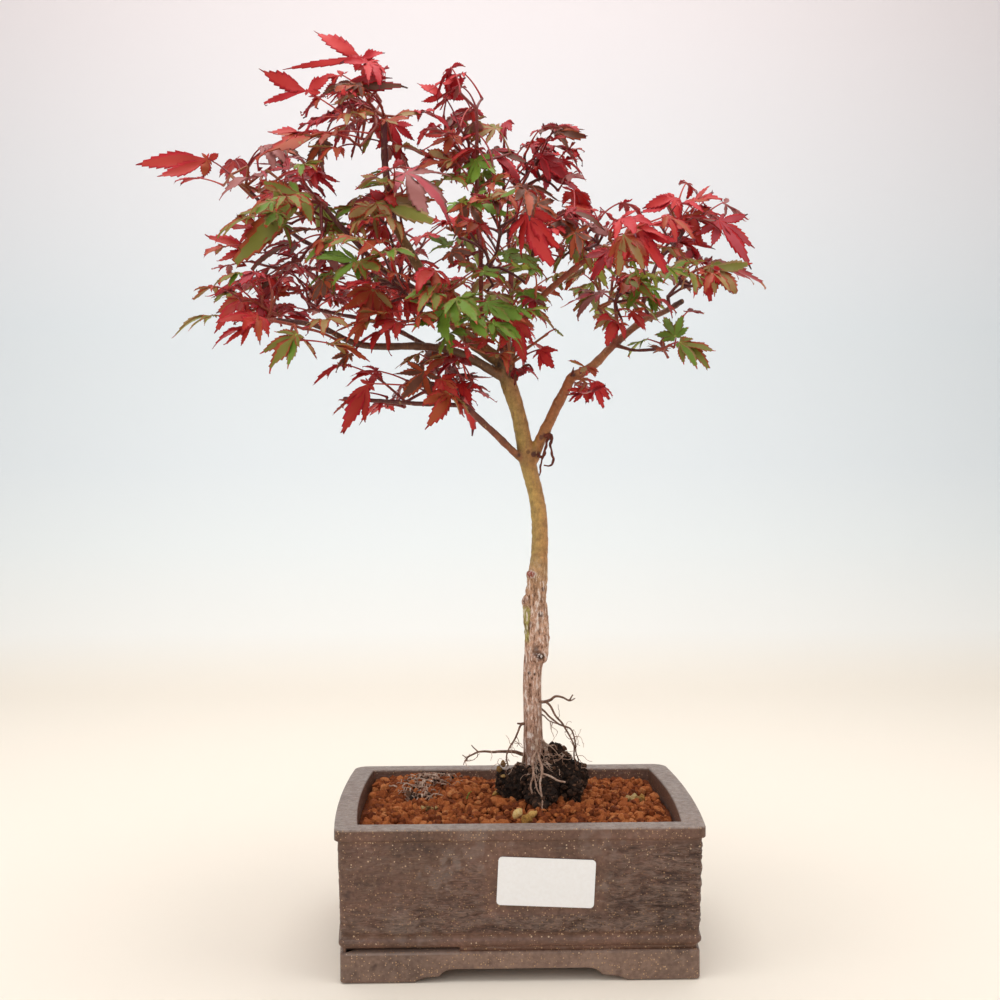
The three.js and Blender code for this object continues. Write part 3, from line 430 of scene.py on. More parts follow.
# %% Plan and profile of the pot
POT = {"length": 190.0, "depth": 140.0, "top": 80.0, "bow": 3.2}
FRONT_CORNER = 3.6
BACK_CORNER = 7.0
LEAST_CORNER = 1.2
RIM = {"width": 11.0, "overhang": 1.7}
WALL_FOOT_INSET = 3.0
TRAY_TOP = 16.0
PLAN_STEP = 1.0
CORNER_STEPS = 8


def plan_outline(inset):
    """The pot's outline, set in by some millimetres: x, y and the way out at each point."""
    half = np.array([POT["length"], POT["depth"]]) / 2 - inset
    arcs = []
    for right, back, start in ((1, -1, -90), (1, 1, 0), (-1, 1, 90), (-1, -1, 180)):
        radius = max((FRONT_CORNER if back < 0 else BACK_CORNER) - inset / 2, LEAST_CORNER)
        turns = np.radians(start + 90 * np.arange(CORNER_STEPS + 1) / CORNER_STEPS)
        ways = np.column_stack([np.cos(turns), np.sin(turns)])
        arcs.append((np.array([right, back]) * (half - radius) + radius * ways, ways))
    ring = []
    outward = []
    for k, (arc, ways) in enumerate(arcs):
        count = int((POT["length"] if k % 2 else POT["depth"]) / PLAN_STEP)
        begin, end = arc[-1], arcs[(k + 1) % 4][0][0]
        ring += [arc, begin + (end - begin) * (np.arange(1, count)[:, None] / count)]
        outward += [ways, np.broadcast_to(ways[-1], (count - 1, 2))]
    ring = np.concatenate(ring)
    ring[:, 0] += np.sign(ring[:, 0]) * POT["bow"] * (1 - (ring[:, 1] / half[1]) ** 2)
    return ring, np.concatenate(outward)


ROUNDING = 0.3
LONGEST_ROUNDED = 2.2


def dense_profile(corners, step):
    """A profile of (inset, z) corners, rounded a little and filled in at every `step`."""
    corners = np.array(corners)
    points = [corners[0]]
    for before, here, after in zip(corners, corners[1:], corners[2:]):
        gaps = np.linalg.norm([before - here, after - here], axis=1)
        reach = ROUNDING * min(*gaps, LONGEST_ROUNDED)
        start, end = (here + (other - here) / gap * reach for other, gap in zip((before, after), gaps))
        points += [start, 0.25 * start + 0.5 * here + 0.25 * end, end]
    points.append(corners[-1])
    filled = [points[0]]
    for here in points[1:]:
        start = filled[-1]
        count = max(1, int(np.linalg.norm(here - start) / step))
        filled += [start + (here - start) * k / count for k in range(1, count + 1)]
    return np.array(filled)


print("points of the pot's plan", len(plan_outline(0)[0]))

# %% [markdown]
# The relief: long shallow ripples like wood grain, strongest to the right and low on the
# wall, with some swirls, and small pits. It fades to nothing on the rim, the bead and
# behind the label, so those stay crisp and flat.

# %% Relief of the pot's wall
LABEL_MIDDLE = (13.0, 51.8)
LABEL_HALF = (29.0, 16.0)
RIPPLE_HEIGHT = 0.8
RIPPLE_GAP = 2.7
PIT_DEPTH = 0.3


def ripples_at(points):
    """Ridges like wood grain, about -1 to 1, that swirl in places."""
    swirl = 5 * np.stack([grid_noise(points, size, seed) for size, seed in ((24, 3), (24, 4), (16, 5))], 1)
    grain = (points + swirl) * np.array([0.22, 0.22, 1.0])
    ridges = 1 - 2 * np.abs(grid_noise(grain, RIPPLE_GAP, 6))
    return (ridges + 0.5 - np.abs(grid_noise(grain, RIPPLE_GAP / 2, 7))) / 1.5


def rippled_at(points):
    """How strong the ripples are, 0 on the flat parts: the rim, the bead and by the label."""
    x, y, z = points.T
    patches = step_between(grid_noise(points, 30, 8) + 0.012 * (x + 10) - 0.02 * (z - 42), -0.3, 0.5)
    body = step_between(z, 24, 27) * (1 - step_between(z, 69, 73))
    across = np.abs(x - LABEL_MIDDLE[0]) / LABEL_HALF[0]
    near_label = np.maximum(across, np.abs(z - LABEL_MIDDLE[1]) / LABEL_HALF[1])
    return body * np.where(y < 0, step_between(near_label, 0.95, 1.2), 1) * (0.4 + 0.6 * patches)


def wall_relief(points):
    """How far the moulded ripples stand out from the wall, in millimetres."""
    pits = step_between(grid_noise(points, 4.5, 9), 0.62, 0.8)
    relief = RIPPLE_HEIGHT * ripples_at(points) - PIT_DEPTH * pits
    return rippled_at(points) * relief + 0.06 * grid_noise(points, 9, 10)


def tray_relief(points):
    """Small dents in the tray's side."""
    return 0.07 * grid_noise(points, 7, 31) - 0.25 * step_between(grid_noise(points, 5, 32), 0.65, 0.85)


print("ripples at two places", ripples_at(np.array([[-60.0, -70, 40], [60, -70, 40]])).round(2))

# %% Marks on the pot
# Marks on the front: x, z and radius, and how dark each is, or how pale if below 0.
MARKS = [
    (-48, 70, 3, 1.0), (-88.5, 44.2, 3, 1.0), (-62.4, 65.7, 1.8, 0.9), (78.6, 53.3, 5, 0.6),
    (77.3, 35, 7, 0.8), (58.4, 40, 5, 0.6), (88.5, 65.7, 2.5, 0.8), (-74, 9.6, 3, 1.0),
    (-16.8, 9.6, 1.6, 0.8), (44.7, 53.3, 6, -0.9), (-42.8, 54.6, 9, -0.6), (-34, 60, 4, -0.7),
    (-60, 30, 14, -0.4), (40, 73, 12, -0.5), (-25, 73.5, 14, -0.6), (-24, 73.5, 2, 0.7), (0, 30, 9, -0.4),
    (20, 68, 7, 0.5), (-70, 52, 7, 0.5), (83, 16, 4, 0.5),
]
LIP = {"from": -90, "to": -32, "low": 14.8, "high": 16.4}
ON_FRONT = -60


def marks_at(points):
    """How stained, above 0, or how scuffed, below 0, the front is at each point."""
    x, y, z = points.T
    ragged = 0.75 * layered_noise(points, 4.0, 12, 4)
    total = np.zeros(len(points))
    for mark_x, mark_z, radius, strength in MARKS:
        apart = np.hypot((x - mark_x) * 0.7, z - mark_z) / radius + ragged
        total += strength * (1 - step_between(apart, 0.2, 0.75))
    lip = (x > LIP["from"]) & (x < LIP["to"]) & (z > LIP["low"]) & (z < LIP["high"])
    elsewhere = 0.8 * step_between(layered_noise(points, 16, 13), 0.55, 0.9)
    return np.where(y < ON_FRONT, total - 0.9 * lip, elsewhere)


print("marks", len(MARKS))

# %% Loft the pot and its tray
SLOT = {"from": -89.5, "to": -32.0, "height": 2.2, "depth": 4.0}


def slotted_relief(points):
    """The wall's relief, and the dark slot under the cove at the front left."""
    x, y, z = points.T
    in_slot = (y < ON_FRONT) & (x > SLOT["from"]) & (x < SLOT["to"]) & (z < TRAY_TOP + SLOT["height"])
    return np.where(in_slot, -SLOT["depth"], wall_relief(points))


def loft(profile, relief):
    """Rings of the plan at each (inset, z), moved out by the relief and closed by fans."""
    rings = []
    for inset, z in profile:
        outline, ways = plan_outline(inset)
        ring = np.column_stack([outline, np.full(len(outline), z)])
        rings.append(ring + np.pad(ways, ((0, 0), (0, 1))) * relief(ring)[:, None])
    return Gathered().add(*closed_rings(rings))


top = POT["top"]
pot_profile = np.concatenate([
    dense_profile([(3.9, TRAY_TOP), (3.9, 18.0), (WALL_FOOT_INSET, 18.8), (1.9, 20.3), (1.9, 21.9),
                   (WALL_FOOT_INSET, 23.0), (RIM["overhang"], 73.4), (0.0, 74.2), (0.0, top),
                   (5.5, top + 0.1)], 0.9),
    dense_profile([(5.6, top + 0.1), (RIM["width"], top), (RIM["width"] + 1.2, 62.0)], 1.2)])
tray_profile = dense_profile([(4.2, 0.0), (2.6, 0.8), (2.6, 15.0), (3.8, TRAY_TOP)], 1.1)
pot_shell = loft(pot_profile, slotted_relief)
tray_shell = loft(tray_profile, tray_relief)
print("pot rings", len(pot_profile), "tray rings", len(tray_profile))

# %% [markdown]
# Mica flakes make the plastic glitter in small tan specks. Dirt and water leave darker
# stains and pale scuffs, and the flat top of the rim is worn and dusty, so it is greyer.
# Flakes are up to half a millimetre wide and a good millimetre apart, and the finish lays
# one coat over another: cloudy plastic first, then painted shade in the relief's hollows and
# painted highlight on its crests, stains and scuffs, dust, and mica.

# %% Finish of the pot
# The rim is worn from a millimetre below its top upwards.
WORN_BELOW_TOP = (1.1, 0.3)
FLAKE_GAP = 1.25
FLAKE_SHARE = 0.62
FLAKE_COLOURS = [(0.0, "#7d5a45"), (0.45, "#a07b59"), (0.8, "#b9946e"), (1.0, "#d2b595")]
DUST_COLOURS = [(0.36, "#7f6e64"), (0.5, "#a39489"), (0.64, "#beb0a5")]
POT_BROWNS = ["#3e281e", "#5e4130", "#735040", "#8b6756"]
# The tray is the pot's own plastic; these browns are painted lighter, as painted light standing in for the
# light its low sides get.
TRAY_BROWNS_PAINTED_LIGHTER = ["#54403a", "#755a4b", "#8a6c5b", "#a08574"]


def relief_shading_and_marks(tree, place):
    """The relief's stored values as colours and shares: painted shade in the hollows, painted highlight on
    the crests, and the marks' stains and scuffs.
    """
    relief, rippled, marks = (add_node(tree, "Attribute", out="Fac", attribute_name=name)
                              for name in ("relief", "rippled", "marks"))
    wavy = add_node(tree, "Mapping", {"Vector": place, "Scale": (1, 1, 4.2)})
    waves = add_node(tree, "TexNoise", {
        "Vector": wavy, "Scale": per_metre(6), "Detail": 4, "Roughness": 0.6, "Distortion": 1.8})
    shade_highlight_and_mark_coats = []
    # Painted shade in the hollows and painted highlight on the crests, of the stored relief and of the waves
    # that also make the bump; then the marks' stains and scuffs.
    for colour, value, start, end, most in (
            ("#33211b", relief, 0.05, -0.42, 0.72), ("#8f7769", relief, 0.15, 0.55, 0.42),
            ("#35221a", waves, 0.49, 0.38, 0.75), ("#957c6e", waves, 0.54, 0.66, 0.45),
            ("#321c16", marks, 0.0, 1.0, 0.6), ("#a9978c", marks, 0.0, -1.0, 0.3)):
        share = add_node(tree, "MapRange", {
            "Value": value, "From Min": start, "From Max": end, "To Max": most})
        if value is waves:
            share = add_node(tree, "Math", {0: share, 1: rippled}, operation="MULTIPLY")
        shade_highlight_and_mark_coats.append((colour, share))
    raised = add_node(tree, "Math", {0: waves, 1: rippled}, operation="MULTIPLY")
    return shade_highlight_and_mark_coats, raised


def mica_flakes(tree, place):
    """The flakes' colours, and 1 where a flake lies: near the middle of some cells."""
    shift = add_node(tree, "TexNoise", {"Vector": place, "Scale": per_metre(1.6), "Detail": 1}, "Color")
    moved = add_node(tree, "VectorMath", {0: shift, 1: [0.5 * MM] * 3, 2: place}, operation="MULTIPLY_ADD")
    apart = add_node(tree, "TexVoronoi", {"Vector": moved, "Scale": per_metre(FLAKE_GAP)})
    chance = add_node(tree, "SeparateColor", {"Color": apart.node.outputs["Color"]})
    reach = add_node(tree, "MapRange", {
        "Value": chance.node.outputs["Blue"], "To Min": 0.12, "To Max": 0.35})
    inside = add_node(tree, "Math", {0: apart, 1: reach}, operation="LESS_THAN")
    chosen = add_node(tree, "Math", {0: chance, 1: FLAKE_SHARE}, operation="LESS_THAN")
    mica = add_node(tree, "ValToRGB", {"Fac": chance.node.outputs["Green"]}, stops=FLAKE_COLOURS)
    return mica, add_node(tree, "Math", {0: inside, 1: chosen}, operation="MULTIPLY")


def mica_plastic(name, browns):
    """Brown ABS: cloudy, grained, painted shade in the relief's hollows and painted highlight on its crests,
    marked, and full of flakes.
    """
    made, tree, surface = new_material(name, browns[2], 0.45, IOR=1.5)
    place = add_node(tree, "TexCoord", out="Object")
    height = add_node(tree, "SeparateXYZ", {"Vector": place}, "Z")
    clouds = add_node(tree, "TexNoise", {
        "Vector": place, "Scale": per_metre(34), "Detail": 6, "Roughness": 0.66})
    grain = add_node(tree, "TexNoise", {"Vector": place, "Scale": per_metre(2.2), "Detail": 4})
    upright = add_node(tree, "Mapping", {"Vector": place, "Scale": (1, 1, 3.4)})
    streaks = add_node(tree, "TexNoise", {
        "Vector": upright, "Scale": per_metre(12), "Detail": 7, "Roughness": 0.72, "Distortion": 1.4})
    scuffed = add_node(tree, "MapRange", {
        "Value": streaks, "From Min": 0.57, "From Max": 0.74, "To Max": 0.5})
    dust = add_node(tree, "TexNoise", {
        "Vector": place, "Scale": per_metre(3.0), "Detail": 8, "Roughness": 0.75})
    low, high = ((POT["top"] - below) * MM for below in WORN_BELOW_TOP)
    worn = add_node(tree, "MapRange", {"Value": height, "From Min": low, "From Max": high, "To Max": 0.6})
    # Painted shade and highlight in the relief, and the stains and scuffs of the marks.
    relief_shading_and_stains, raised = relief_shading_and_marks(tree, place)
    body = add_node(tree, "ValToRGB", {"Fac": clouds}, stops=list(zip((0.25, 0.42, 0.58, 0.75), browns)))
    body = coats(tree, body, [
        (add_node(tree, "ValToRGB", {"Fac": grain}, stops=[(0.35, browns[0]), (0.65, browns[3])]), 0.3),
        ("#97847a", scuffed), *relief_shading_and_stains,
        (add_node(tree, "ValToRGB", {"Fac": dust}, stops=DUST_COLOURS), worn), mica_flakes(tree, place)])
    shine = add_node(tree, "MapRange", {"Value": clouds, "To Min": 0.34, "To Max": 0.62})
    bump = add_node(tree, "Bump", {"Height": streaks, "Strength": 0.5, "Distance": 0.8 * MM})
    bump = add_node(tree, "Bump", {
        "Height": raised, "Strength": 0.9, "Distance": 2.2 * MM, "Normal": bump})
    set_inputs(surface, {"Base Color": body, "Roughness": shine, "Normal": bump})
    return made


def add_pot_values(made, relief):
    """Stores the relief and the marks at each point, for the plastic to read."""
    points = mesh_points(made)[0]
    for name, values in (("relief", relief), ("rippled", rippled_at), ("marks", marks_at)):
        add_values(made, name, values(points))


pot = piece("pot_shell", pot_shell, [mica_plastic("moulded_abs_with_mica", POT_BROWNS)])
add_pot_values(pot, wall_relief)
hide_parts("pot")
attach(pot, "root")
# The tray's lighter browns are painted light on the pot's own plastic.
tray = piece("tray_shell", tray_shell, [mica_plastic("abs_with_mica_painted_lighter", TRAY_BROWNS_PAINTED_LIGHTER)])

# %% [markdown]
# The arches between the tray's feet are cut out of it, as the mould does, with two long
# bars that have the arch's own outline. The feet's shoulders are soft curves.

# %% Cut the arches
# Half the width of each arch at the foot, the shoulder and the crown, and its height. The
# second one goes through from side to side.
ARCHES = [(55.0, 42.0, 34.0, 7.2), (34.0, 27.0, 21.0, 6.4)]


def bend(start, middle, end, steps):
    """Points on the soft curve from start to end that leans to the middle point."""
    share = np.linspace(0, 1, steps + 1)[1:, None]
    start, middle, end = (np.array(p, float) for p in (start, middle, end))
    return (1 - share) ** 2 * start + 2 * share * (1 - share) * middle + share ** 2 * end


def arch_bar(foot, shoulder, crown, rise, turned):
    """A bar as long as the pot and with an arch's outline, turned to lie along x or not."""
    left = np.concatenate([
        [[-foot, -3.0], [-foot, 0.0]],
        bend((-foot, 0), (-foot + 1, rise * 0.4), (-shoulder, rise * 0.5), 6),
        bend((-shoulder, rise * 0.5), (-shoulder + 3, rise), (-crown, rise), 6)])
    outline = np.concatenate([left, left[::-1] * np.array([-1, 1])])
    corners = [(-y, x, z) if turned else (x, y, z) for y in (-POT["length"], POT["length"]) for x,
               z in outline]
    count = len(outline)
    faces = [tuple(range(count)), tuple(range(2 * count - 1, count - 1, -1))]
    faces += [(k, k + count, (k + 1) % count + count, (k + 1) % count) for k in range(count)]
    mesh = bpy.data.meshes.new("arch_bar")
    mesh.from_pydata(placed(corners).tolist(), [], faces)
    work = bmesh.new()
    work.from_mesh(mesh)
    bmesh.ops.recalc_face_normals(work, faces=work.faces)
    work.to_mesh(mesh)
    work.free()
    return add_object("arch_bar", mesh)


for arch, turned in zip(ARCHES, (False, True)):
    bar = arch_bar(*arch, turned)
    cut = tray.modifiers.new("arch", "BOOLEAN")
    cut.operation = "DIFFERENCE"
    cut.object = bar
    cut.solver = "EXACT"
    apply_modifiers(tray)
    bpy.data.objects.remove(bar)
add_pot_values(tray, tray_relief)
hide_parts("foot_tray")
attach(tray, "root")
print("tray faces", len(tray.data.polygons))

# %% [markdown]
# The label is a plain white paper sticker. It keeps its solid, and gets paper's faint
# mottling and a slight shine.

# %% Label
label_paper, tree, surface = new_material("coated_label_paper", "#f4f2f0", 0.42, IOR=1.48)
place = add_node(tree, "TexCoord", out="Object")
fibres = add_node(tree, "TexNoise", {"Vector": place, "Scale": per_metre(1.5), "Detail": 3})
paper = add_node(tree, "ValToRGB", {"Fac": fibres}, stops=[(0.3, "#f4f2f0"), (0.7, "#f8f7f6")])
set_inputs(surface, {"Base Color": paper})
label = frame["nodes"]["label"]
label.data.materials.clear()
label.data.materials.append(label_paper)
print("label finished with", label_paper.name)

# %% [markdown]
# The soil is baked clay grains, two to seven millimetres wide, poured round the root
# ball. Below the grains lies one bumpy sheet of the same clay, so that no gap shows the
# pot's floor. Each grain is a small ball pushed out of round by noise, with flat chips.

# %% Bed of soil
SOIL_EDGE = 71.0
SOIL_MOUND = 5.0
SOIL_WALL = 11.7
SOIL_HALF = np.array([POT["length"], POT["depth"]]) / 2 - SOIL_WALL
HEAP = {"x": -50.0, "y": 42.0, "reach": 30.0, "rise": 4.2}


def soil_height(x, y):
    """The soil rises from the pot's wall to its middle, with a low heap at the back left."""
    part = np.maximum(np.abs(x) / SOIL_HALF[0], np.abs(y) / SOIL_HALF[1])
    heap = HEAP["rise"] * np.exp(-((x - HEAP["x"]) ** 2 + (y - HEAP["y"]) ** 2) / HEAP["reach"] ** 2)
    return SOIL_EDGE + SOIL_MOUND * (1 - np.minimum(part, 1) ** 2) + heap


def soil_bed():
    """Rings from the wall to the middle, laid on a first ring that is set deep."""
    outline, _ = plan_outline(SOIL_WALL)
    rings = [np.column_stack([outline, np.full(len(outline), 60.0)])]
    for part in 1 - 0.025 * np.arange(40):
        xy = outline * part
        ring = np.column_stack([xy, soil_height(*xy.T)])
        ring[:, 2] += 1.1 * layered_noise(ring, 5.0, 40) - 1.4
        rings.append(ring)
    corners, faces = closed_rings(rings)
    # The sheet's tones sit low on the clay's ramp: painted shade in the gaps between the grains.
    return Gathered().add(corners, faces, 0.2 + 0.3 * grid_noise(corners, 4.0, 44))


print("soil in the middle is", soil_height(0, 0).round(1), "mm up")

# %% Grains
def ball_shape(fineness):
    """The points and faces of a ball of radius one."""
    work = bmesh.new()
    bmesh.ops.create_icosphere(work, subdivisions=fineness, radius=1)
    points = np.array([v.co[:] for v in work.verts])
    faces = np.array([[v.index for v in f.verts] for f in work.faces])
    work.free()
    return points, faces


BALL_POINTS, BALL_FACES = ball_shape(2)


def grains(places, sizes, seed, lumpy=0.36, chips=9):
    """Stones at the places, each with its own lumps, chipped faces, turn and tone."""
    draw = np.random.default_rng(seed)
    count = len(places)
    w, x, y, z = unit(draw.normal(size=(count, 4))).T
    spin = np.array([
        [1 - 2 * (y * y + z * z), 2 * (x * y - z * w), 2 * (x * z + y * w)],
        [2 * (x * y + z * w), 1 - 2 * (x * x + z * z), 2 * (y * z - x * w)],
        [2 * (x * z - y * w), 2 * (y * z + x * w), 1 - 2 * (x * x + y * y)]]).transpose(2, 0, 1)
    shape = np.broadcast_to(BALL_POINTS, (count, len(BALL_POINTS), 3))
    offset = draw.uniform(0, 900, (count, 1, 3))
    lumps = layered_noise((shape + offset).reshape(-1, 3), 0.9, seed, 2).reshape(count, -1, 1)
    shape = shape * (1 + lumpy * lumps)
    for _ in range(chips):
        way = unit(draw.normal(size=(count, 1, 3)))
        over = (shape * way).sum(2, keepdims=True) - draw.uniform(0.55, 0.9, (count, 1, 1))
        shape = shape - way * np.maximum(over, 0)
    shape = shape * draw.uniform(0.75, 1.3, (count, 1, 3))
    shape = np.einsum("nij,nkj->nki", spin, shape) * np.asarray(sizes)[:, None, None]
    points = shape + np.asarray(places)[:, None, :]
    faces = BALL_FACES[None] + np.arange(count)[:, None, None] * len(BALL_POINTS)
    return Gathered().add(points, [faces.reshape(-1, 3)], np.repeat(draw.random(count), len(BALL_POINTS)))


print("points of a grain", len(BALL_POINTS))

# %% Finish of soil, peat and roots
def even_stops(colours):
    """Colours spread evenly along a ramp."""
    return [(k / (len(colours) - 1), colour) for k, colour in enumerate(colours)]


def crumbly(name, tones, mottle, roughness, mottled=2.2):
    """Matt earthy stuff, dark to light by each lump's own tone, and mottled and pitted."""
    made, tree, surface = new_material(name, tones[len(tones) // 2], roughness, Specular_IOR_Level=0.25)
    place = add_node(tree, "TexCoord", out="Object")
    tone = add_node(tree, "Attribute", out="Fac", attribute_name="tone")
    specks = add_node(tree, "TexNoise", {
        "Vector": place, "Scale": per_metre(mottle), "Detail": 6, "Roughness": 0.78})
    mixed = add_node(tree, "Math", {0: specks, 1: mottled, 2: tone}, operation="MULTIPLY_ADD")
    share = add_node(tree, "MapRange", {
        "Value": mixed, "From Min": mottled / 2 - 0.3, "From Max": mottled / 2 + 1.2})
    set_inputs(surface, {
        "Base Color": add_node(tree, "ValToRGB", {"Fac": share}, stops=even_stops(tones)),
        "Normal": add_node(tree, "Bump", {
            "Height": specks, "Strength": 0.9, "Distance": mottle * 0.6 * MM})})
    return made


# Baked clay is matt, and each grain has its own firing, from dark red-brown to orange.
CLAY_TONES = ["#34160b", "#693117", "#8c4822", "#a3582c", "#b96d3b", "#c98a5a"]
baked_clay = crumbly("baked_clay", CLAY_TONES, 1.1, 0.95, 1.5)
print("finish", baked_clay.name)

# %% Soil
GRAIN_STEP = 4.4
ROW_SHARE = 0.86
LOOSE_GRAINS = 1000
WALL_GAP = 1.5

soil = piece("soil_bed", soil_bed(), [baked_clay])
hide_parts("soil")
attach(soil, "root")

draw = np.random.default_rng(41)
places = []
sizes = []
across, back = SOIL_HALF
for row, y in enumerate(np.arange(-back + WALL_GAP, back - 1, GRAIN_STEP * ROW_SHARE)):
    for x in np.arange(-across + WALL_GAP + row % 2 * GRAIN_STEP / 2, across - 1, GRAIN_STEP):
        size = draw.uniform(1.7, 3.5)
        edge = SOIL_HALF - size * 0.7
        spot = np.clip(np.array([x, y]) + draw.uniform(-1.7, 1.7, 2), -edge, edge)
        places.append([*spot, soil_height(*spot) + draw.uniform(-1.0, 1.7)])
        sizes.append(size)
for _ in range(LOOSE_GRAINS):
    spot = draw.uniform(-SOIL_HALF + WALL_GAP, SOIL_HALF - WALL_GAP)
    places.append([*spot, soil_height(*spot) + draw.uniform(0.2, 2.8)])
    sizes.append(draw.uniform(0.8, 2.0))
clay = piece("clay_grains", grains(places, sizes, 42), [baked_clay], smooth=False)
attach(clay, "root")

# %% [markdown]
# A few odd things lie on the clay: yellow-tan pebbles in front of the trunk and behind it,
# mossy brown lumps at the right, at the left and on the peat, and one blade of grass.

# %% Pebbles, moss and a blade of grass
PEBBLES = [
    (-0.3, -34.0, 77.9, 3.3), (4.5, -42.5, 76.6, 3.9), (7.6, -33.5, 77.6, 2.9), (-11.3, 4.5, 78.6, 2.3),
    (-9.0, 33.0, 77.9, 3.0), (72.5, 8.6, 74.9, 2.4),
]
MOSSY = [
    (67.6, 5.0, 75.6, 3.0), (70.4, 3.6, 75.2, 2.3), (64.8, 6.0, 75.0, 2.0), (-49.0, -17.0, 76.7, 2.1),
    (-46.4, -17.8, 76.4, 1.8), (-51.6, -16.2, 76.5, 1.7), (-44.2, -16.9, 76.6, 1.4), (-9.0, 0.5, 93.6, 2.6),
    (-7.2, -2.4, 90.6, 2.0), (-6.6, 1.5, 96.6, 2.4),
]
PEBBLE_TONES = ["#5f3f1c", "#b5853f", "#d9b067", "#f0d79c"]
MOSS_TONES = ["#33220f", "#6d4f2a", "#a07a45", "#cfb37c"]
STONES = [("pebbles", PEBBLES, PEBBLE_TONES, 43, 7), ("mossy_lumps", MOSSY, MOSS_TONES, 45, 12)]
for name, rows, tones, seed, chips in STONES:
    rows = np.array(rows)
    stones = grains(rows[:, :3], rows[:, 3], seed, 0.4, chips)
    made = piece(name, stones, [crumbly(name + "_skin", tones, 1.6, 0.75)])
    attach(made, "root")

BLADE = [(-27.6, -1.0, 75.0), (-27.4, -1.3, 78.0), (-26.2, -2.2, 81.0), (-24.6, -3.4, 82.6)]
blade = Gathered().add(*tube(BLADE, [0.3, 0.45, 0.35, 0.12], 5), 0.5)
grass = piece("grass_blade", blade, [crumbly("grass", ["#4f6b22", "#7d9a3c", "#a3b45c"], 3.0, 0.5)])
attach(grass, "root")

# %% [markdown]
# The root ball is a ragged lump of black peat that stands out of the clay round the foot
# of the trunk. Overlapping balls are run together by a remesh, which lays one even skin
# of small squares round them all; noise then tears that skin, and crumbs lie on it.

# %% Root ball
GROUND = 72.0
PEAT_LUMPS = [
    (15, 2, 84, 15, 13, 15), (3, 0, 87, 8, 8, 10), (-3.5, 0, 85, 5, 6, 7), (-8, 1, 87, 3.5, 4.5, 6),
    (23, 6, 97, 6, 6, 8.5), (21, 5, 103, 3.6, 3.2, 4), (27, 5, 95, 6, 5, 7), (31, 4, 90, 9, 8, 8),
    (33, -7, 84, 4.5, 4.5, 8), (14, -11, 82, 8, 8, 8), (13.5, -17.5, 78, 4.5, 5, 5), (24, 8, 84, 14, 14, 13),
    (20, 16, 80, 14, 10, 10), (6, 10, 82, 12, 11, 12),
]
PEAT_VOXEL = 0.55
PEAT_TORN = 1.5
CRUMBS = 1500
PEAT_TONES = ["#100a07", "#21160f", "#35241a", "#513829", "#7d5b45"]


def run_together(made, voxel, rounds):
    """Gives overlapping closed shapes one skin, and softens it over the joins."""
    remesh = made.modifiers.new("run_together", "REMESH")
    remesh.mode = "VOXEL"
    remesh.voxel_size = voxel * MM
    soften = made.modifiers.new("soften_joins", "SMOOTH")
    soften.factor = 0.5
    soften.iterations = rounds
    apply_modifiers(made)
    made.data.polygons.foreach_set("use_smooth", [True] * len(made.data.polygons))
    print(made.name, "run together into", len(made.data.polygons), "faces")


round_points, round_faces = ball_shape(4)
peat_balls = Gathered()
for lump in np.array(PEAT_LUMPS):
    peat_balls.add(lump[:3] + round_points * lump[3:], [round_faces])
black_peat = crumbly("wet_black_peat", PEAT_TONES, 1.3, 0.85)
peat = piece("peat_lump", peat_balls, [black_peat])
run_together(peat, PEAT_VOXEL, 2)
points, normals = mesh_points(peat)
torn = layered_noise(points, 8.0, 51, 4) + 0.5 * grid_noise(points, 1.5, 59)
torn -= 1.1 * np.abs(layered_noise(points, 3.6, 55, 3))
move_points(peat, points + normals * (PEAT_TORN * torn + 0.8)[:, None])
# The tone follows the tearing: painted shade in the hollows and painted highlight on the raised bits.
add_values(peat, "tone", 0.1 + 0.6 * step_between(torn, -0.6, 1.2))
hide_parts("root_ball_peat")
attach(peat, "root")

# %% Crumbs of peat
# Loose peat also lies on the clay, under the mats of fine roots at these places.
MATS = [(-58.0, 26.0), (-52.0, 40.0), (-42.0, 50.0), (-55.0, 8.0), (-46.0, 28.0)]
MAT_CRUMBS = 40
MAT_SPREAD = 4

draw = np.random.default_rng(53)
skin = mesh_points(peat)[0]
skin = skin[skin[:, 2] > GROUND + 2]
places = [skin[draw.integers(0, len(skin), CRUMBS)]]
for mat in MATS:
    around = np.column_stack([draw.normal(at, MAT_SPREAD, MAT_CRUMBS) for at in mat])
    lift = draw.uniform(1.5, 3.5, MAT_CRUMBS)
    places.append(np.column_stack([around, soil_height(*around.T) + lift]))
places = np.concatenate(places)
sizes = 0.35 + 1.5 * draw.random(len(places)) ** 3
crumbs = piece("peat_crumbs", grains(places, sizes, 54, 0.5), [black_peat], smooth=False)
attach(crumbs, "root")

# %% [markdown]
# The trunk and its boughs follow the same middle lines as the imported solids, so that the
# leaves grow from the same places. The tables give each line's points and radii, and the
# colour of its bark at its foot and at its tip: old wood is grey-brown, younger wood is
# olive, and this year's shoots are dark red.

# %% Trunk and boughs
TRUNK = [
    (11, 4, GROUND, 8.4), (10.6, 4, 90, 6.4), (10.4, 4, 112, 5.5), (10, 4, 150, 5.3), (12, 3, 166, 6.7),
    (11.4, 2, 187, 6.6), (12.5, 1, 200, 5.5), (14, 0, 224, 4.7), (12.8, 0, 243, 4.3), (7, 0, 268, 4.8),
    (1.7, 0, 295, 4.1), (-4, 0, 313, 4.7), (-5.8, 0, 324, 5.2),
]
TRUNK_COLOURS = [
    (72, "#5a3f32"), (96, "#8f6b59"), (112, "#b58d78"), (150, "#c99f88"), (180, "#c0967c"), (198, "#b98f6f"),
    (208, "#b68f62"), (216, "#b98f55"), (245, "#bb9250"), (280, "#b28d49"), (305, "#ac854c"),
    (324, "#7d5a3c"),
]
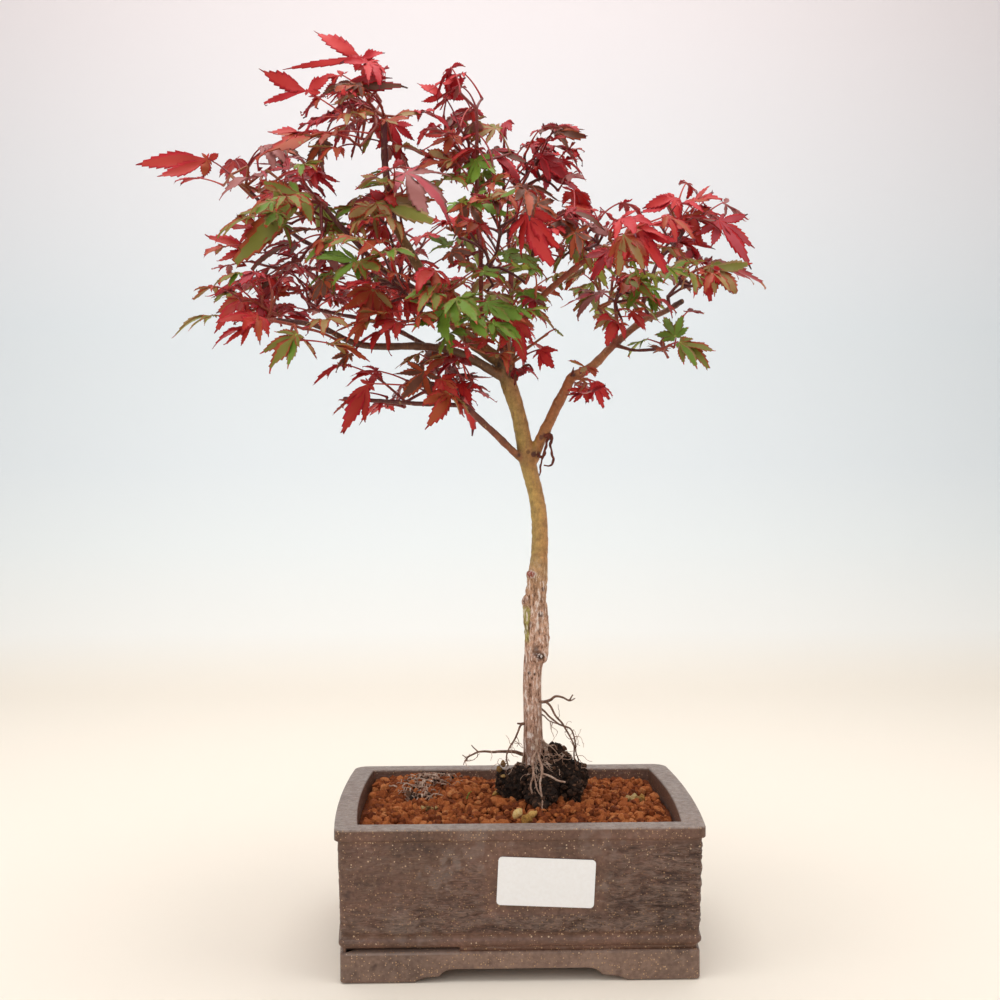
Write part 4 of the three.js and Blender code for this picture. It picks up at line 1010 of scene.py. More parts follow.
# Swellings: the middle of each and its reach in x, y and z.
KNOTS = [
    (8.6, -3.6, 204.3, 2.7, 2.7, 2.6), (15.6, 0, 164, 3.6, 4.2, 9.5), (6.5, -2.0, 189, 3.0, 3.0, 3.6),
    (7.5, 0, 268, 5.2, 5.0, 6.2), (-5.8, 0, 322, 5.9, 5.9, 6.4), (13, -1, 157, 5.4, 4.6, 3.4),
]
RED_WOOD = ("#8a3a22", "#7c2420")
DARK_SHOOT = ("#5b2a22", "#5a1f22")
# Each bough: its name, what it grows from, its radii, its way and its two colours.
LIMBS = [
    ("bough_right_lower", "trunk", (3.3, 2.8), [(9, 0, 267), (19, -2, 289), (31, -5, 314)],
     ("#a6713c", "#98522e")),
    ("bough_right_upper", "bough_right_lower", (2.7, 1.9),
     [(31, -5, 314), (43, -1, 320.5), (57, 6, 334), (78, 13, 351)], ("#a4683a", "#8c4a30")),
    ("bough_right_twig", "bough_right_upper", (1.2, 0.9), [(57, 6, 333), (67, -2, 329.5), (79, -9, 329.5)],
     DARK_SHOOT),
    ("bough_right_spur", "bough_right_upper", (1.5, 1.1), [(57, 6, 334), (57, 0, 345), (56, -4, 353)],
     RED_WOOD),
    ("bough_right_stub", "bough_right_upper", (1.8, 1.6), [(77, 13, 349.5), (88, 18, 354), (98, 21, 360)],
     ("#8a4c30", "#432a22")),
    ("bough_left_low", "trunk", (2.2, 1.7), [(7, 0, 266), (-13, -9, 284), (-28, -16, 298)],
     ("#86512f", "#6a2f26")),
    ("bough_left_low_outer", "bough_left_low", (1.5, 1.1),
     [(-28, -16, 298), (-55, -20, 299), (-94, -14, 302)], DARK_SHOOT),
    ("bough_left", "trunk", (2.8, 1.2),
     [(-7, -1, 315), (-38, -17, 328.5), (-84, -34, 329.5), (-107, -41, 339), (-127, -45, 341)],
     ("#6e4f33", "#4f2222")),
    ("bough_left_mid", "bough_left", (1.4, 1.1), [(-47, -21, 329), (-70, -6, 342), (-110, 11, 353)],
     DARK_SHOOT),
    ("leader_lower", "trunk", (4.2, 2.4), [(-6, 0, 321), (-30, 4, 341), (-50, 9, 371), (-68, 8, 402)],
     ("#84693a", "#7e5a34")),
    ("leader_upper", "leader_lower", (2.3, 1.8), [(-68, 8, 402), (-71.5, 4, 427), (-72.5, 0, 456)],
     ("#6e3028", "#5f1f28")),
    ("bough_upper_left", "leader_lower", (1.9, 1.3),
     [(-42, 8, 357), (-70, -7, 371), (-96, -19, 396), (-103, -22, 404)], DARK_SHOOT),
    ("bough_far_left", "leader_lower", (1.8, 1.2), [(-39, 7, 354), (-88, 24, 377.5), (-128, 30, 400),
                                                    (-152, 30, 424)], DARK_SHOOT),
    ("bough_front", "leader_lower", (1.5, 1.1), [(-33, 5, 345), (-42, -10, 350), (-48, -24, 352)], RED_WOOD),
    ("bough_centre", "leader_lower", (1.6, 1.2), [(-17, 2, 332), (-19, -11, 356), (-19, -21, 378)],
     RED_WOOD),
    ("bough_centre_back", "trunk", (1.9, 1.2), [(-5, 1, 323), (-1.6, 18, 353), (-2, 31, 397)], RED_WOOD),
    ("bough_upper_right", "trunk", (2.1, 1.5), [(-4, 0, 321), (6.5, -14, 348), (24, -30, 365),
                                                (43, -42, 378.5)], ("#8a5a30", "#8e2c20")),
    ("bough_back_left", "leader_lower", (1.9, 1.2), [(-36, 6, 349), (-52, 34, 362), (-66, 62, 374)],
     DARK_SHOOT),
    ("bough_back", "trunk", (2, 1.2), [(-5, 1, 320), (-6, 34, 340), (0, 64, 358)], RED_WOOD),
    ("bough_back_right", "bough_right_upper", (1.6, 1.1), [(56, 6, 333), (58, 36, 345), (54, 62, 360)],
     RED_WOOD),
]


def smooth_line(way, steps):
    """Points evenly spaced on the smooth curve through the way's points."""
    way = np.asarray(way, float)
    full = np.concatenate([[2 * way[0] - way[1]], way, [2 * way[-1] - way[-2]]])

    def at(position):
        k = min(int(position), len(way) - 2)
        share = position - k
        p0, p1, p2, p3 = full[k:k + 4]
        gaps = [max(np.linalg.norm(b[:3] - a[:3]) ** 0.5, 1e-4) for a, b in ((p0, p1), (p1, p2), (p2, p3))]
        start = ((p1 - p0) / gaps[0] - (p2 - p0) / (gaps[0] + gaps[1]) + (p2 - p1) / gaps[1]) * gaps[1]
        end = ((p2 - p1) / gaps[1] - (p3 - p1) / (gaps[1] + gaps[2]) + (p3 - p2) / gaps[2]) * gaps[1]
        square = -3 * p1 + 3 * p2 - 2 * start - end
        cube = 2 * p1 - 2 * p2 + start + end
        return p1 + share * start + share ** 2 * square + share ** 3 * cube

    table = np.array([at(position) for position in np.linspace(0, len(way) - 1, 201)])
    length = np.concatenate([[0], np.cumsum(np.linalg.norm(np.diff(table[:, :3], axis=0), axis=1))])
    even = np.linspace(0, length[-1], steps + 1)
    return np.column_stack([np.interp(even, length, table[:, k]) for k in range(way.shape[1])])


def way_length(way):
    line = smooth_line(way, 50)
    return np.linalg.norm(np.diff(line[:, :3], axis=0), axis=1).sum()


LIMB_STEP = 16


def limb_line(limb):
    """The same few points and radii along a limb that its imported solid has."""
    steps = max(2, round(way_length(limb[3]) / LIMB_STEP))
    return smooth_line(limb[3], steps), np.linspace(*limb[2], steps + 1)


print("boughs", len(LIMBS))

# %% [markdown]
# All the tubes are run together and remeshed, so that boughs grow out of the trunk with
# no seam, as wood does. Then the bark is given its relief: below the first knots it is
# cracked and corky, above them it is smooth with small raised pores and a slight swelling
# at each leaf joint.

# %% Grow the wood
WOOD_VOXEL = 0.62
TUBE_STEP = 1.6
NODE_SPACING = 17.0
NODE_SWELLING = 0.14

line = smooth_line(TRUNK, 170)
radii = line[:, 3] * (1 + 0.06 * grid_noise(line[:, :3], 12, 61))
tubes = Gathered().add(*tube(line[:, :3], radii, 20))
for knot in np.array(KNOTS):
    tubes.add(knot[:3] + BALL_POINTS * knot[3:], [BALL_FACES])
for _, _, (low, high), way, _ in LIMBS:
    length = way_length(way)
    steps = int(length / TUBE_STEP)
    line = smooth_line(way, steps)
    along = np.linspace(0, length, steps + 1)
    from_joint = (along + NODE_SPACING / 3) % NODE_SPACING - NODE_SPACING / 2
    radii = np.linspace(low, high, steps + 1) * (1 + NODE_SWELLING * np.exp(-from_joint ** 2 / 2.5))
    tubes.add(*tube(line + 0.35 * three_noises(line, 14, 65), radii, 12))
wood = piece("wood", tubes, [])
run_together(wood, WOOD_VOXEL, 3)

# %% Colours of the bark
# Marks on the wood: the middle, the reach and the colour of each, later ones on top.
CUTS = [
    ((-72.5, 0, 459), 3.6, "#c9a074"), ((99, 21.5, 361), 2.6, "#7a5a44"),
    ((8.6, -6.4, 204.4), 3.3, "#dcc9bd"), ((8.4, -6.6, 204.5), 2.7, "#9c4632"),
    ((13.6, -4.2, 158.6), 3.0, "#5b3a2c"), ((13.9, -4.6, 158.2), 1.7, "#2f1d16"),
    ((11.6, -3.6, 162), 1.4, "#c9b0a2"), ((-6, -5.5, 325), 3.5, "#4a3226"),
    ((4.2, -4, 189.8), 2.6, "#c09a88"), ((4.0, -4.4, 188.6), 1.5, "#7a4c3a"),
    ((-3, -4, 316), 2.6, "#5a3d2a"), ((7.7, -1.0, 148.5), 1.1, "#4d3226"),
    ((10.8, -1.3, 147.9), 1.0, "#4d3226"), ((8.3, -1.0, 141.7), 1.3, "#5a3a2c"),
    ((12.8, -1.0, 140.6), 1.0, "#4d3226"), ((9.4, -2, 176), 1.3, "#5b4034"), ((14, -4, 182), 1.6, "#6d5244"),
    ((15.5, -3, 196), 1.4, "#6d5244"), ((10.6, -4.4, 271.6), 2.2, "#5e301e"),
    ((13.8, -3.6, 270.6), 1.9, "#4a2618"), ((7.2, -4.8, 272.6), 1.5, "#6a4526"),
    ((1.8, -3.6, 270.8), 1.4, "#5e3320"), ((14.4, -4.4, 280.6), 1.5, "#5e301e"),
    ((16.4, -4.2, 281.6), 1.5, "#6b3a24"), ((32, -7.6, 315.5), 1.8, "#5a2c20"),
    ((-9.5, -5.2, 321), 1.8, "#3c281e"), ((-3.2, -5.6, 321), 1.6, "#3c281e"),
]
STRIP = {"from": 164, "to": 186, "right": 8.2, "colour": "#a4a04e"}
RING = {"z": 214.6, "half": 1.3, "colour": "#8a5c38", "depth": 0.1}
OLD_WOOD_TOP = (198, 214)
NEARNESS = 14.0
BLOCK = 4000


def rgb(colour):
    return np.array(linear(colour)[:3])


def wood_samples():
    """Points on every middle line, with the colour of the bark there and how old it is."""
    line = smooth_line(TRUNK, 130)
    heights = [height for height, _ in TRUNK_COLOURS]
    tones = np.array([rgb(colour) for _, colour in TRUNK_COLOURS])
    found = [(line[:, :3], np.column_stack([np.interp(line[:, 2], heights, tone) for tone in tones.T]),
              1 - step_between(line[:, 2], *OLD_WOOD_TOP))]
    share = np.linspace(0, 1, 25)[:, None]
    for _, _, _, way, (foot, tip) in LIMBS:
        found.append((smooth_line(way, 24), (1 - share) * rgb(foot) + share * rgb(tip), np.zeros(25)))
    return [np.concatenate(part) for part in zip(*found)]


def blend_in(found, share, colour):
    """Mixes a colour into the found ones, as strongly as the share at each point."""
    found += share[:, None] * (rgb(colour) - found)


def bark_tints(points, normals):
    """Each point takes the colour of the middle lines near it, softly mixed at forks."""
    spots, colours, ages = wood_samples()
    found = np.empty((len(points), 3))
    age = np.empty(len(points))
    for start in range(0, len(points), BLOCK):
        block = slice(start, start + BLOCK)
        apart = ((points[block, None] - spots[None]) ** 2).sum(2)
        weight = np.exp(-(apart - apart.min(1, keepdims=True)) / NEARNESS)
        weight /= weight.sum(1, keepdims=True)
        found[block] = weight @ colours
        age[block] = weight @ ages
    x, y, z = points.T
    trunk_x = np.interp(z, [row[2] for row in TRUNK], [row[0] for row in TRUNK])
    upper = step_between(z, 206, 214) * (1 - step_between(z, 318, 326)) * (np.abs(x - trunk_x) < 7)
    from_ring = np.abs(z - RING["z"] + 1.2 * grid_noise(points, 4, 81))
    strip = step_between(z, STRIP["from"], STRIP["from"] + 4)
    strip *= 1 - step_between(z, STRIP["to"] - 2, STRIP["to"] + 2)
    strip *= 1 - step_between(x + 0.8 * grid_noise(points, 4, 79), STRIP["right"] - 0.8, STRIP["right"])
    for share, colour in (
            (0.35 * upper * np.clip(-normals[:, 0], 0, 1), "#8e9142"),
            (0.6 * upper * np.clip(normals[:, 0], 0, 1), "#b3744a"),
            (0.5 * upper * (1 - step_between(from_ring, 0, RING["half"])), RING["colour"]),
            (0.8 * strip * (y < 3), STRIP["colour"])):
        blend_in(found, share, colour)
    wobble = 1 + 0.3 * grid_noise(points, 1.6, 80)
    for spot, radius, colour in CUTS:
        apart = np.linalg.norm(points - np.array(spot), axis=1) * wobble
        blend_in(found, 1 - step_between(apart, radius * 0.7, radius * 1.1), colour)
    return found, age


points, normals = mesh_points(wood)
tints, age = bark_tints(points, normals)
print("old wood at", int((age > 0.5).sum()), "of", len(age), "points")

# %% Relief of the bark
FIBRES = np.array([1, 1, 0.16])
PORES = np.array([1, 1, 2.2])
FORK = np.array(KNOTS[4][:3])

x, y, z = points.T
cracks = 1 - 2 * np.abs(layered_noise(points * FIBRES, 2.6, 71, 2))
corky = 0.24 * cracks + 0.2 * layered_noise(points * FIBRES, 1.5, 73, 2) + 0.3 * grid_noise(points, 7, 75)
gnarled = step_between(z, 152, 162) * (1 - step_between(z, 200, 208))
corky += gnarled * (0.5 * layered_noise(points, 3.0, 77, 3) + 0.35 * grid_noise(points, 6, 83))
young = 0.10 * layered_noise(points, 2.4, 76, 2) + 0.14 * grid_noise(points * PORES, 3.4, 78)
fork_top = 1 - step_between(np.linalg.norm(points - FORK, axis=1), 7, 11)
fork_lumps = layered_noise(points, 3.4, 82, 3)
relief = age * corky + (1 - age) * young + 0.5 * fork_top * fork_lumps
relief -= RING["depth"] * (np.abs(z - RING["z"]) < RING["half"]) * (np.abs(x - 13) < 8)
# Painted shade in the hollows of the lumps on top of the fork.
tints *= (1 - 0.45 * fork_top * step_between(-fork_lumps, 0, 0.6))[:, None]
move_points(wood, points + normals * relief[:, None])
tone = wood.data.color_attributes.new("bark_tint", "FLOAT_COLOR", "POINT")
tone.data.foreach_set("color", np.pad(tints, ((0, 0), (0, 1)), constant_values=1).ravel().astype(np.float32))
add_values(wood, "bark_age", age)
# How hollow each point is, for the painted shade in the bark's hollows.
add_values(wood, "bark_hollow", np.clip(0.5 - 0.8 * relief, 0, 1))
print("bark relief from", relief.min().round(2), "to", relief.max().round(2), "mm")

# %% [markdown]
# Maple bark: on old wood the cracks are dark, in their own colour and with painted shade in
# the relief's hollows, and the plates between them are pinkish grey with whitish flakes that
# are partly painted highlight; on young wood small pale and red-brown pores dot a smooth skin
# that shines a little.
# The colour of each place was worked out above, and the pattern only varies it.

# %% Finish of the bark
bark, tree, surface = new_material("maple_bark", "#8a7060", 0.75, IOR=1.45)
place = add_node(tree, "TexCoord", out="Object")
tint = add_node(tree, "Attribute", out="Color", attribute_name="bark_tint")
years = add_node(tree, "Attribute", out="Fac", attribute_name="bark_age")
hollow = add_node(tree, "Attribute", out="Fac", attribute_name="bark_hollow")
mottle = add_node(tree, "TexNoise", {
    "Vector": place, "Scale": per_metre(3.6), "Detail": 6, "Roughness": 0.75})
lighter = add_node(tree, "MapRange", {
    "Value": mottle, "From Min": 0.32, "From Max": 0.68, "To Min": 0.6, "To Max": 1.42})
colour = add_node(tree, "VectorMath", {0: tint, "Scale": lighter}, operation="SCALE")
# Fibres run up the wood and are about 1.5 mm apart.
upright = add_node(tree, "Mapping", {"Vector": place, "Scale": (1, 1, 0.26)})
fibres = add_node(tree, "TexNoise", {
    "Vector": upright, "Scale": per_metre(1.5), "Detail": 6, "Roughness": 0.72})
flattened = add_node(tree, "Mapping", {"Vector": place, "Scale": (1, 1, 0.55)})
pores = add_node(tree, "TexVoronoi", {"Vector": flattened, "Scale": per_metre(2.1)})
pore_colour = add_node(tree, "ValToRGB", {"Fac": pores.node.outputs["Color"]},
                       stops=[(0.2, "#6b3520"), (0.7, "#b08a5e")])
fresh = add_node(tree, "Math", {0: 1.0, 1: years}, operation="SUBTRACT")
# Each coat: its colour, what it follows, where that starts and ends, its share at both
# ends, and the wood that it lies on.
# The pale coat on the fibres' crests is whitish flakes of old bark with painted highlight; the coat that
# follows the hollow is painted shade.
BARK_COATS = [
    ("#8a5f38", fibres, 0.5, 0.34, 0.0, 0.5, None), ("#efdfd4", fibres, 0.53, 0.6, 0.0, 0.95, years),
    ("#5f3d2c", fibres, 0.47, 0.37, 0.0, 0.9, years), ("#44291e", hollow, 0.6, 0.95, 0.0, 0.6, years),
    (pore_colour, pores, 0.14, 0.26, 0.6, 0.0, fresh),
]
for over, value, start, end, least, most, where in BARK_COATS:
    share = add_node(tree, "MapRange", {
        "Value": value, "From Min": start, "From Max": end, "To Min": least, "To Max": most})
    if where is not None:
        share = add_node(tree, "Math", {0: share, 1: where}, operation="MULTIPLY")
    colour = coats(tree, colour, [(over, share)])
set_inputs(surface, {
    "Base Color": colour,
    "Roughness": add_node(tree, "MapRange", {"Value": years, "To Min": 0.45, "To Max": 0.88}),
    "Normal": add_node(tree, "Bump", {"Height": fibres, "Strength": 0.5, "Distance": 0.6 * MM})})
wood.data.materials.append(bark)
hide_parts("trunk", *[limb[0] for limb in LIMBS])
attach(wood, "root")
print("bark coats", len(BARK_COATS))

# %% [markdown]
# Roots hang out of the ball and run over it. The thick ones keep to places read off the
# photograph. Fine ones wander by seeded steps, and where they lie on the peat or on the
# clay, each step is set down on the nearest place of that surface.

# %% Roots
# Each thick root: its radius at the foot and at the tip, how much it sways, and its way.
ROOTS = [
    (1.0, 0.35, 0.35, [(12, 3, 131), (15.7, 3, 131.4), (20, 0, 132.7), (23.5, -3, 135.4), (29.3, -6, 133.8),
                       (32.4, -9, 137.9)]),
    (0.45, 0.3, 0.3, [(29.3, -6, 133.9), (31, -8, 134.2), (33.3, -9, 135.4)]),
    (0.7, 0.35, 0.25, [(13, 1, 132), (17.9, 0, 131.5), (23.6, -1, 123.1), (28.5, -2, 116.5),
                       (32.4, -3, 108.7),
                       (33.2, -4, 101.6), (33.5, -2, 94)]),
    (0.6, 0.3, 0.3, [(12, 3, 129), (15.6, 3, 127.2), (19.6, 2, 123.1), (24.4, 1, 119), (31.1, 0, 116.7),
                     (33.7, -1, 111.3),
                     (34, -2, 105.4), (35.8, -2, 99.3), (34, 0, 93)]),
    (0.45, 0.25, 0.4, [(12, 3, 125), (15.6, 3, 123.8), (20.1, 1, 121.1), (23.7, 0, 119.8),
                       (26.4, -1, 119.4)]),
    (0.9, 0.5, 0.2, [(8, 3, 119.5), (4, 3, 119.3), (1.5, 2, 119.8)]),
    (0.65, 0.35, 0.3, [(6, 3, 119.5), (3.3, 2, 118.6), (1.4, 0, 114.4), (-1.4, -2, 109.3), (-4.6, -4, 104.9),
                       (-4.5, -3, 96)]),
    (1.15, 0.45, 0.35, [(8, 3, 101), (4.3, 3, 101.7), (-0.8, 0, 103.6), (-9.4, -3, 104.4),
                        (-16.7, -5, 104.9),
                        (-21.3, -6, 105.3), (-24.6, -7, 103.6), (-27.4, -8, 101.7)]),
    (0.35, 0.2, 0.3, [(-27, -8, 101.9), (-28.2, -8, 100.6), (-28.9, -8, 98.4)]),
    (0.35, 0.25, 0.2, [(-27, -8, 101.8), (-28.4, -8, 103), (-29.8, -8, 104.1)]),
    (0.4, 0.25, 0.3, [(-21, -6, 105.3), (-23, -6.5, 107.4), (-24.6, -7, 109.3)]),
    (0.9, 0.5, 0.3, [(11.2, 0, 119), (11.4, -3.2, 115.5), (11.9, -4.6, 106), (9.5, -8, 102),
                     (9.5, -13, 95.3),
                     (8.2, -16, 89.4), (8.6, -17, 84)]),
    (0.55, 0.3, 0.3, [(9.5, -13, 95.3), (11.4, -18, 86.9), (13.3, -20, 83.4), (13.5, -22, 78)]),
    (0.85, 0.4, 0.3, [(12.5, -5, 104), (14.3, -14, 94.9), (12.9, -18, 88.7), (13.9, -21, 82.9),
                      (13.7, -25, 76.5)]),
    (0.6, 0.55, 0.3, [(13.7, -14, 94.8), (19, -15, 93.3), (23.1, -17, 91.4), (26.6, -18, 91)]),
]
PALE_ROOTS_FROM = 11
OVER_PEAT = 75
HANGING = 46
MAT_STRANDS = 26
# The thick roots that hairs hang from, the busier ones twice.
HAIRY_ROOTS = [2, 2, 3, 3, 4, 6, 6, 7, 8, 11]
STRAND_STEP = 1.2
peat_tree = BVHTree.FromPolygons([Vector(p) for p in mesh_points(peat)[0]],
                                 [tuple(f.vertices) for f in peat.data.polygons])


def on_peat(spot):
    """The nearest place of the peat's surface, and a hair's thickness above it."""
    found, normal, _, _ = peat_tree.find_nearest(Vector(spot))
    return np.array(found + normal * 0.3)


def on_soil(spot):
    """On the clay grains, up and down as they lie."""
    x, y = spot[:2]
    return np.array([x, y, soil_height(x, y) + 2.8 + 1.2 * math.sin(x * 0.9 + y)])


def in_air(spot):
    return spot


def strand(draw, start, way, length, curl, settle):
    """A fine root: short steps that wander, each set down on what it lies on."""
    steps = max(5, int(length / STRAND_STEP))
    spots = [np.array(start, float)]
    way = unit(way)
    for _ in range(steps):
        way = unit(way + curl * draw.normal(size=3))
        spots.append(settle(spots[-1] + way * length / steps))
    return np.array(spots)


def add_root(made, line, foot, tip, sides, tone):
    corners, faces = tube(line, np.linspace(foot, tip, len(line)), sides)
    made.add(corners, faces, np.clip(tone + 0.25 * grid_noise(corners, 3.0, 58), 0, 1))


draw = np.random.default_rng(56)
roots = Gathered()
lines = []
for k, (foot, tip, sway, way) in enumerate(ROOTS):
    line = smooth_line(way, max(6, int(way_length(way) / 0.9)))
    bends = three_noises(line + 50 * k, 4.5, 62)
    line = line + 2.2 * sway * bends * np.linspace(0, 1, len(line))[:, None] ** 0.3
    lines.append(line)
    add_root(roots, line, foot, tip, 8, 0.75 if k >= PALE_ROOTS_FROM else 0.3)
for _ in range(OVER_PEAT):
    low, high = (0.9, 2.1) if draw.random() < 0.75 else (0, 2)
    turn = draw.uniform(math.pi * low, math.pi * high)
    out = np.array([math.cos(turn), math.sin(turn), 0])
    start = np.array([10.5, 3.5, draw.uniform(96, 112)]) + out * 5.5
    line = strand(draw, start, out - 0.9 * UP, draw.uniform(10, 34), 0.3, on_peat)
    line[0] = start
    add_root(roots, line, draw.uniform(0.22, 0.42), 0.14, 5, draw.uniform(0.6, 1.0))
for _ in range(HANGING):
    line = lines[int(draw.choice(HAIRY_ROOTS))]
    start = line[draw.integers(len(line) // 3, len(line))]
    way = draw.normal(size=3) * np.array([1, 0.7, 0.8]) - UP * 0.7
    line = strand(draw, start, way, draw.uniform(5, 15), 0.4, in_air)
    add_root(roots, line, draw.uniform(0.16, 0.24), 0.12, 4, draw.uniform(0.4, 0.9))
for mat in MATS:
    for _ in range(MAT_STRANDS):
        start = on_soil([draw.normal(at, MAT_SPREAD) for at in mat])
        way = [*draw.normal(size=2), 0]
        line = strand(draw, start, way, draw.uniform(7, 20), 0.35, on_soil)
        add_root(roots, line, draw.uniform(0.3, 0.6), 0.22, 5, draw.uniform(0.35, 1.0))
root_bark = crumbly("root_bark", ["#40291f", "#684838", "#93705d", "#bf9c86", "#e4cdb9"], 2.2, 0.8)
made = piece("roots", roots, [root_bark])
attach(made, "root")

# %% Withered shoots
# Dried shoots at the lower fork and a short stump: radius at foot and tip, and the way.
WITHERED = [
    (0.8, 0.45, [(15, -3, 281.2), (17.6, -4.4, 281.8), (19.9, -4.4, 282.1), (20.3, -5, 279), (19.3, -6, 276),
                 (20.8, -7, 268.4),
                 (20.2, -7, 265.4), (18, -7, 264.4), (15.8, -7, 264.9)]),
    (0.9, 0.35, [(19.5, -4, 281.6), (17.4, -5, 277.8), (16.4, -6, 273.6), (14.6, -6.6, 267),
                 (13.4, -7, 259.5)]),
    (0.7, 0.4, [(12.4, -4, 271.4), (14.4, -5.6, 270), (16.2, -6.4, 270.8), (16.8, -6.4, 273)]),
    (0.9, 0.5, [(-1.5, -3.5, 314), (-0.1, -5, 314.9), (4.3, -6, 319.5), (7.7, -7, 320.6), (9.5, -7, 317.9),
                (7.1, -7, 316.6)]),
    (1.1, 0.3, [(31.2, -6.2, 313.6), (31.8, -6.6, 316.4), (32.4, -6.6, 319.4)]),
]
withered = Gathered()
for foot, tip, way in WITHERED:
    line = smooth_line(way, int(way_length(way) / 0.7))
    line = line + 0.5 * three_noises(line, 2.4, 91)
    radii = np.linspace(foot, tip, len(line)) * (1.15 + 0.55 * grid_noise(line, 1.8, 94))
    corners, faces = tube(line, radii, 7)
    withered.add(corners, faces, 0.4 + 0.4 * grid_noise(corners, 2, 95))
withered_bark = crumbly("withered_bark", ["#3a1c16", "#6b3226", "#93523a"], 1.4, 0.7)
made = piece("withered_shoots", withered, [withered_bark])
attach(made, "root")

# %% [markdown]
# The leaves hang in masses, each fed by one bough. A leaf that shows in the photograph
# has a row: the place of its hub, the way its middle lobe points and how long that is,
# how far it is tipped to the front in degrees, and its autumn tint. `more` leaves are
# dealt by the seed, and all are joined to the bough by twigs with the same rule that
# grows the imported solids, so both have their masses in the same places.

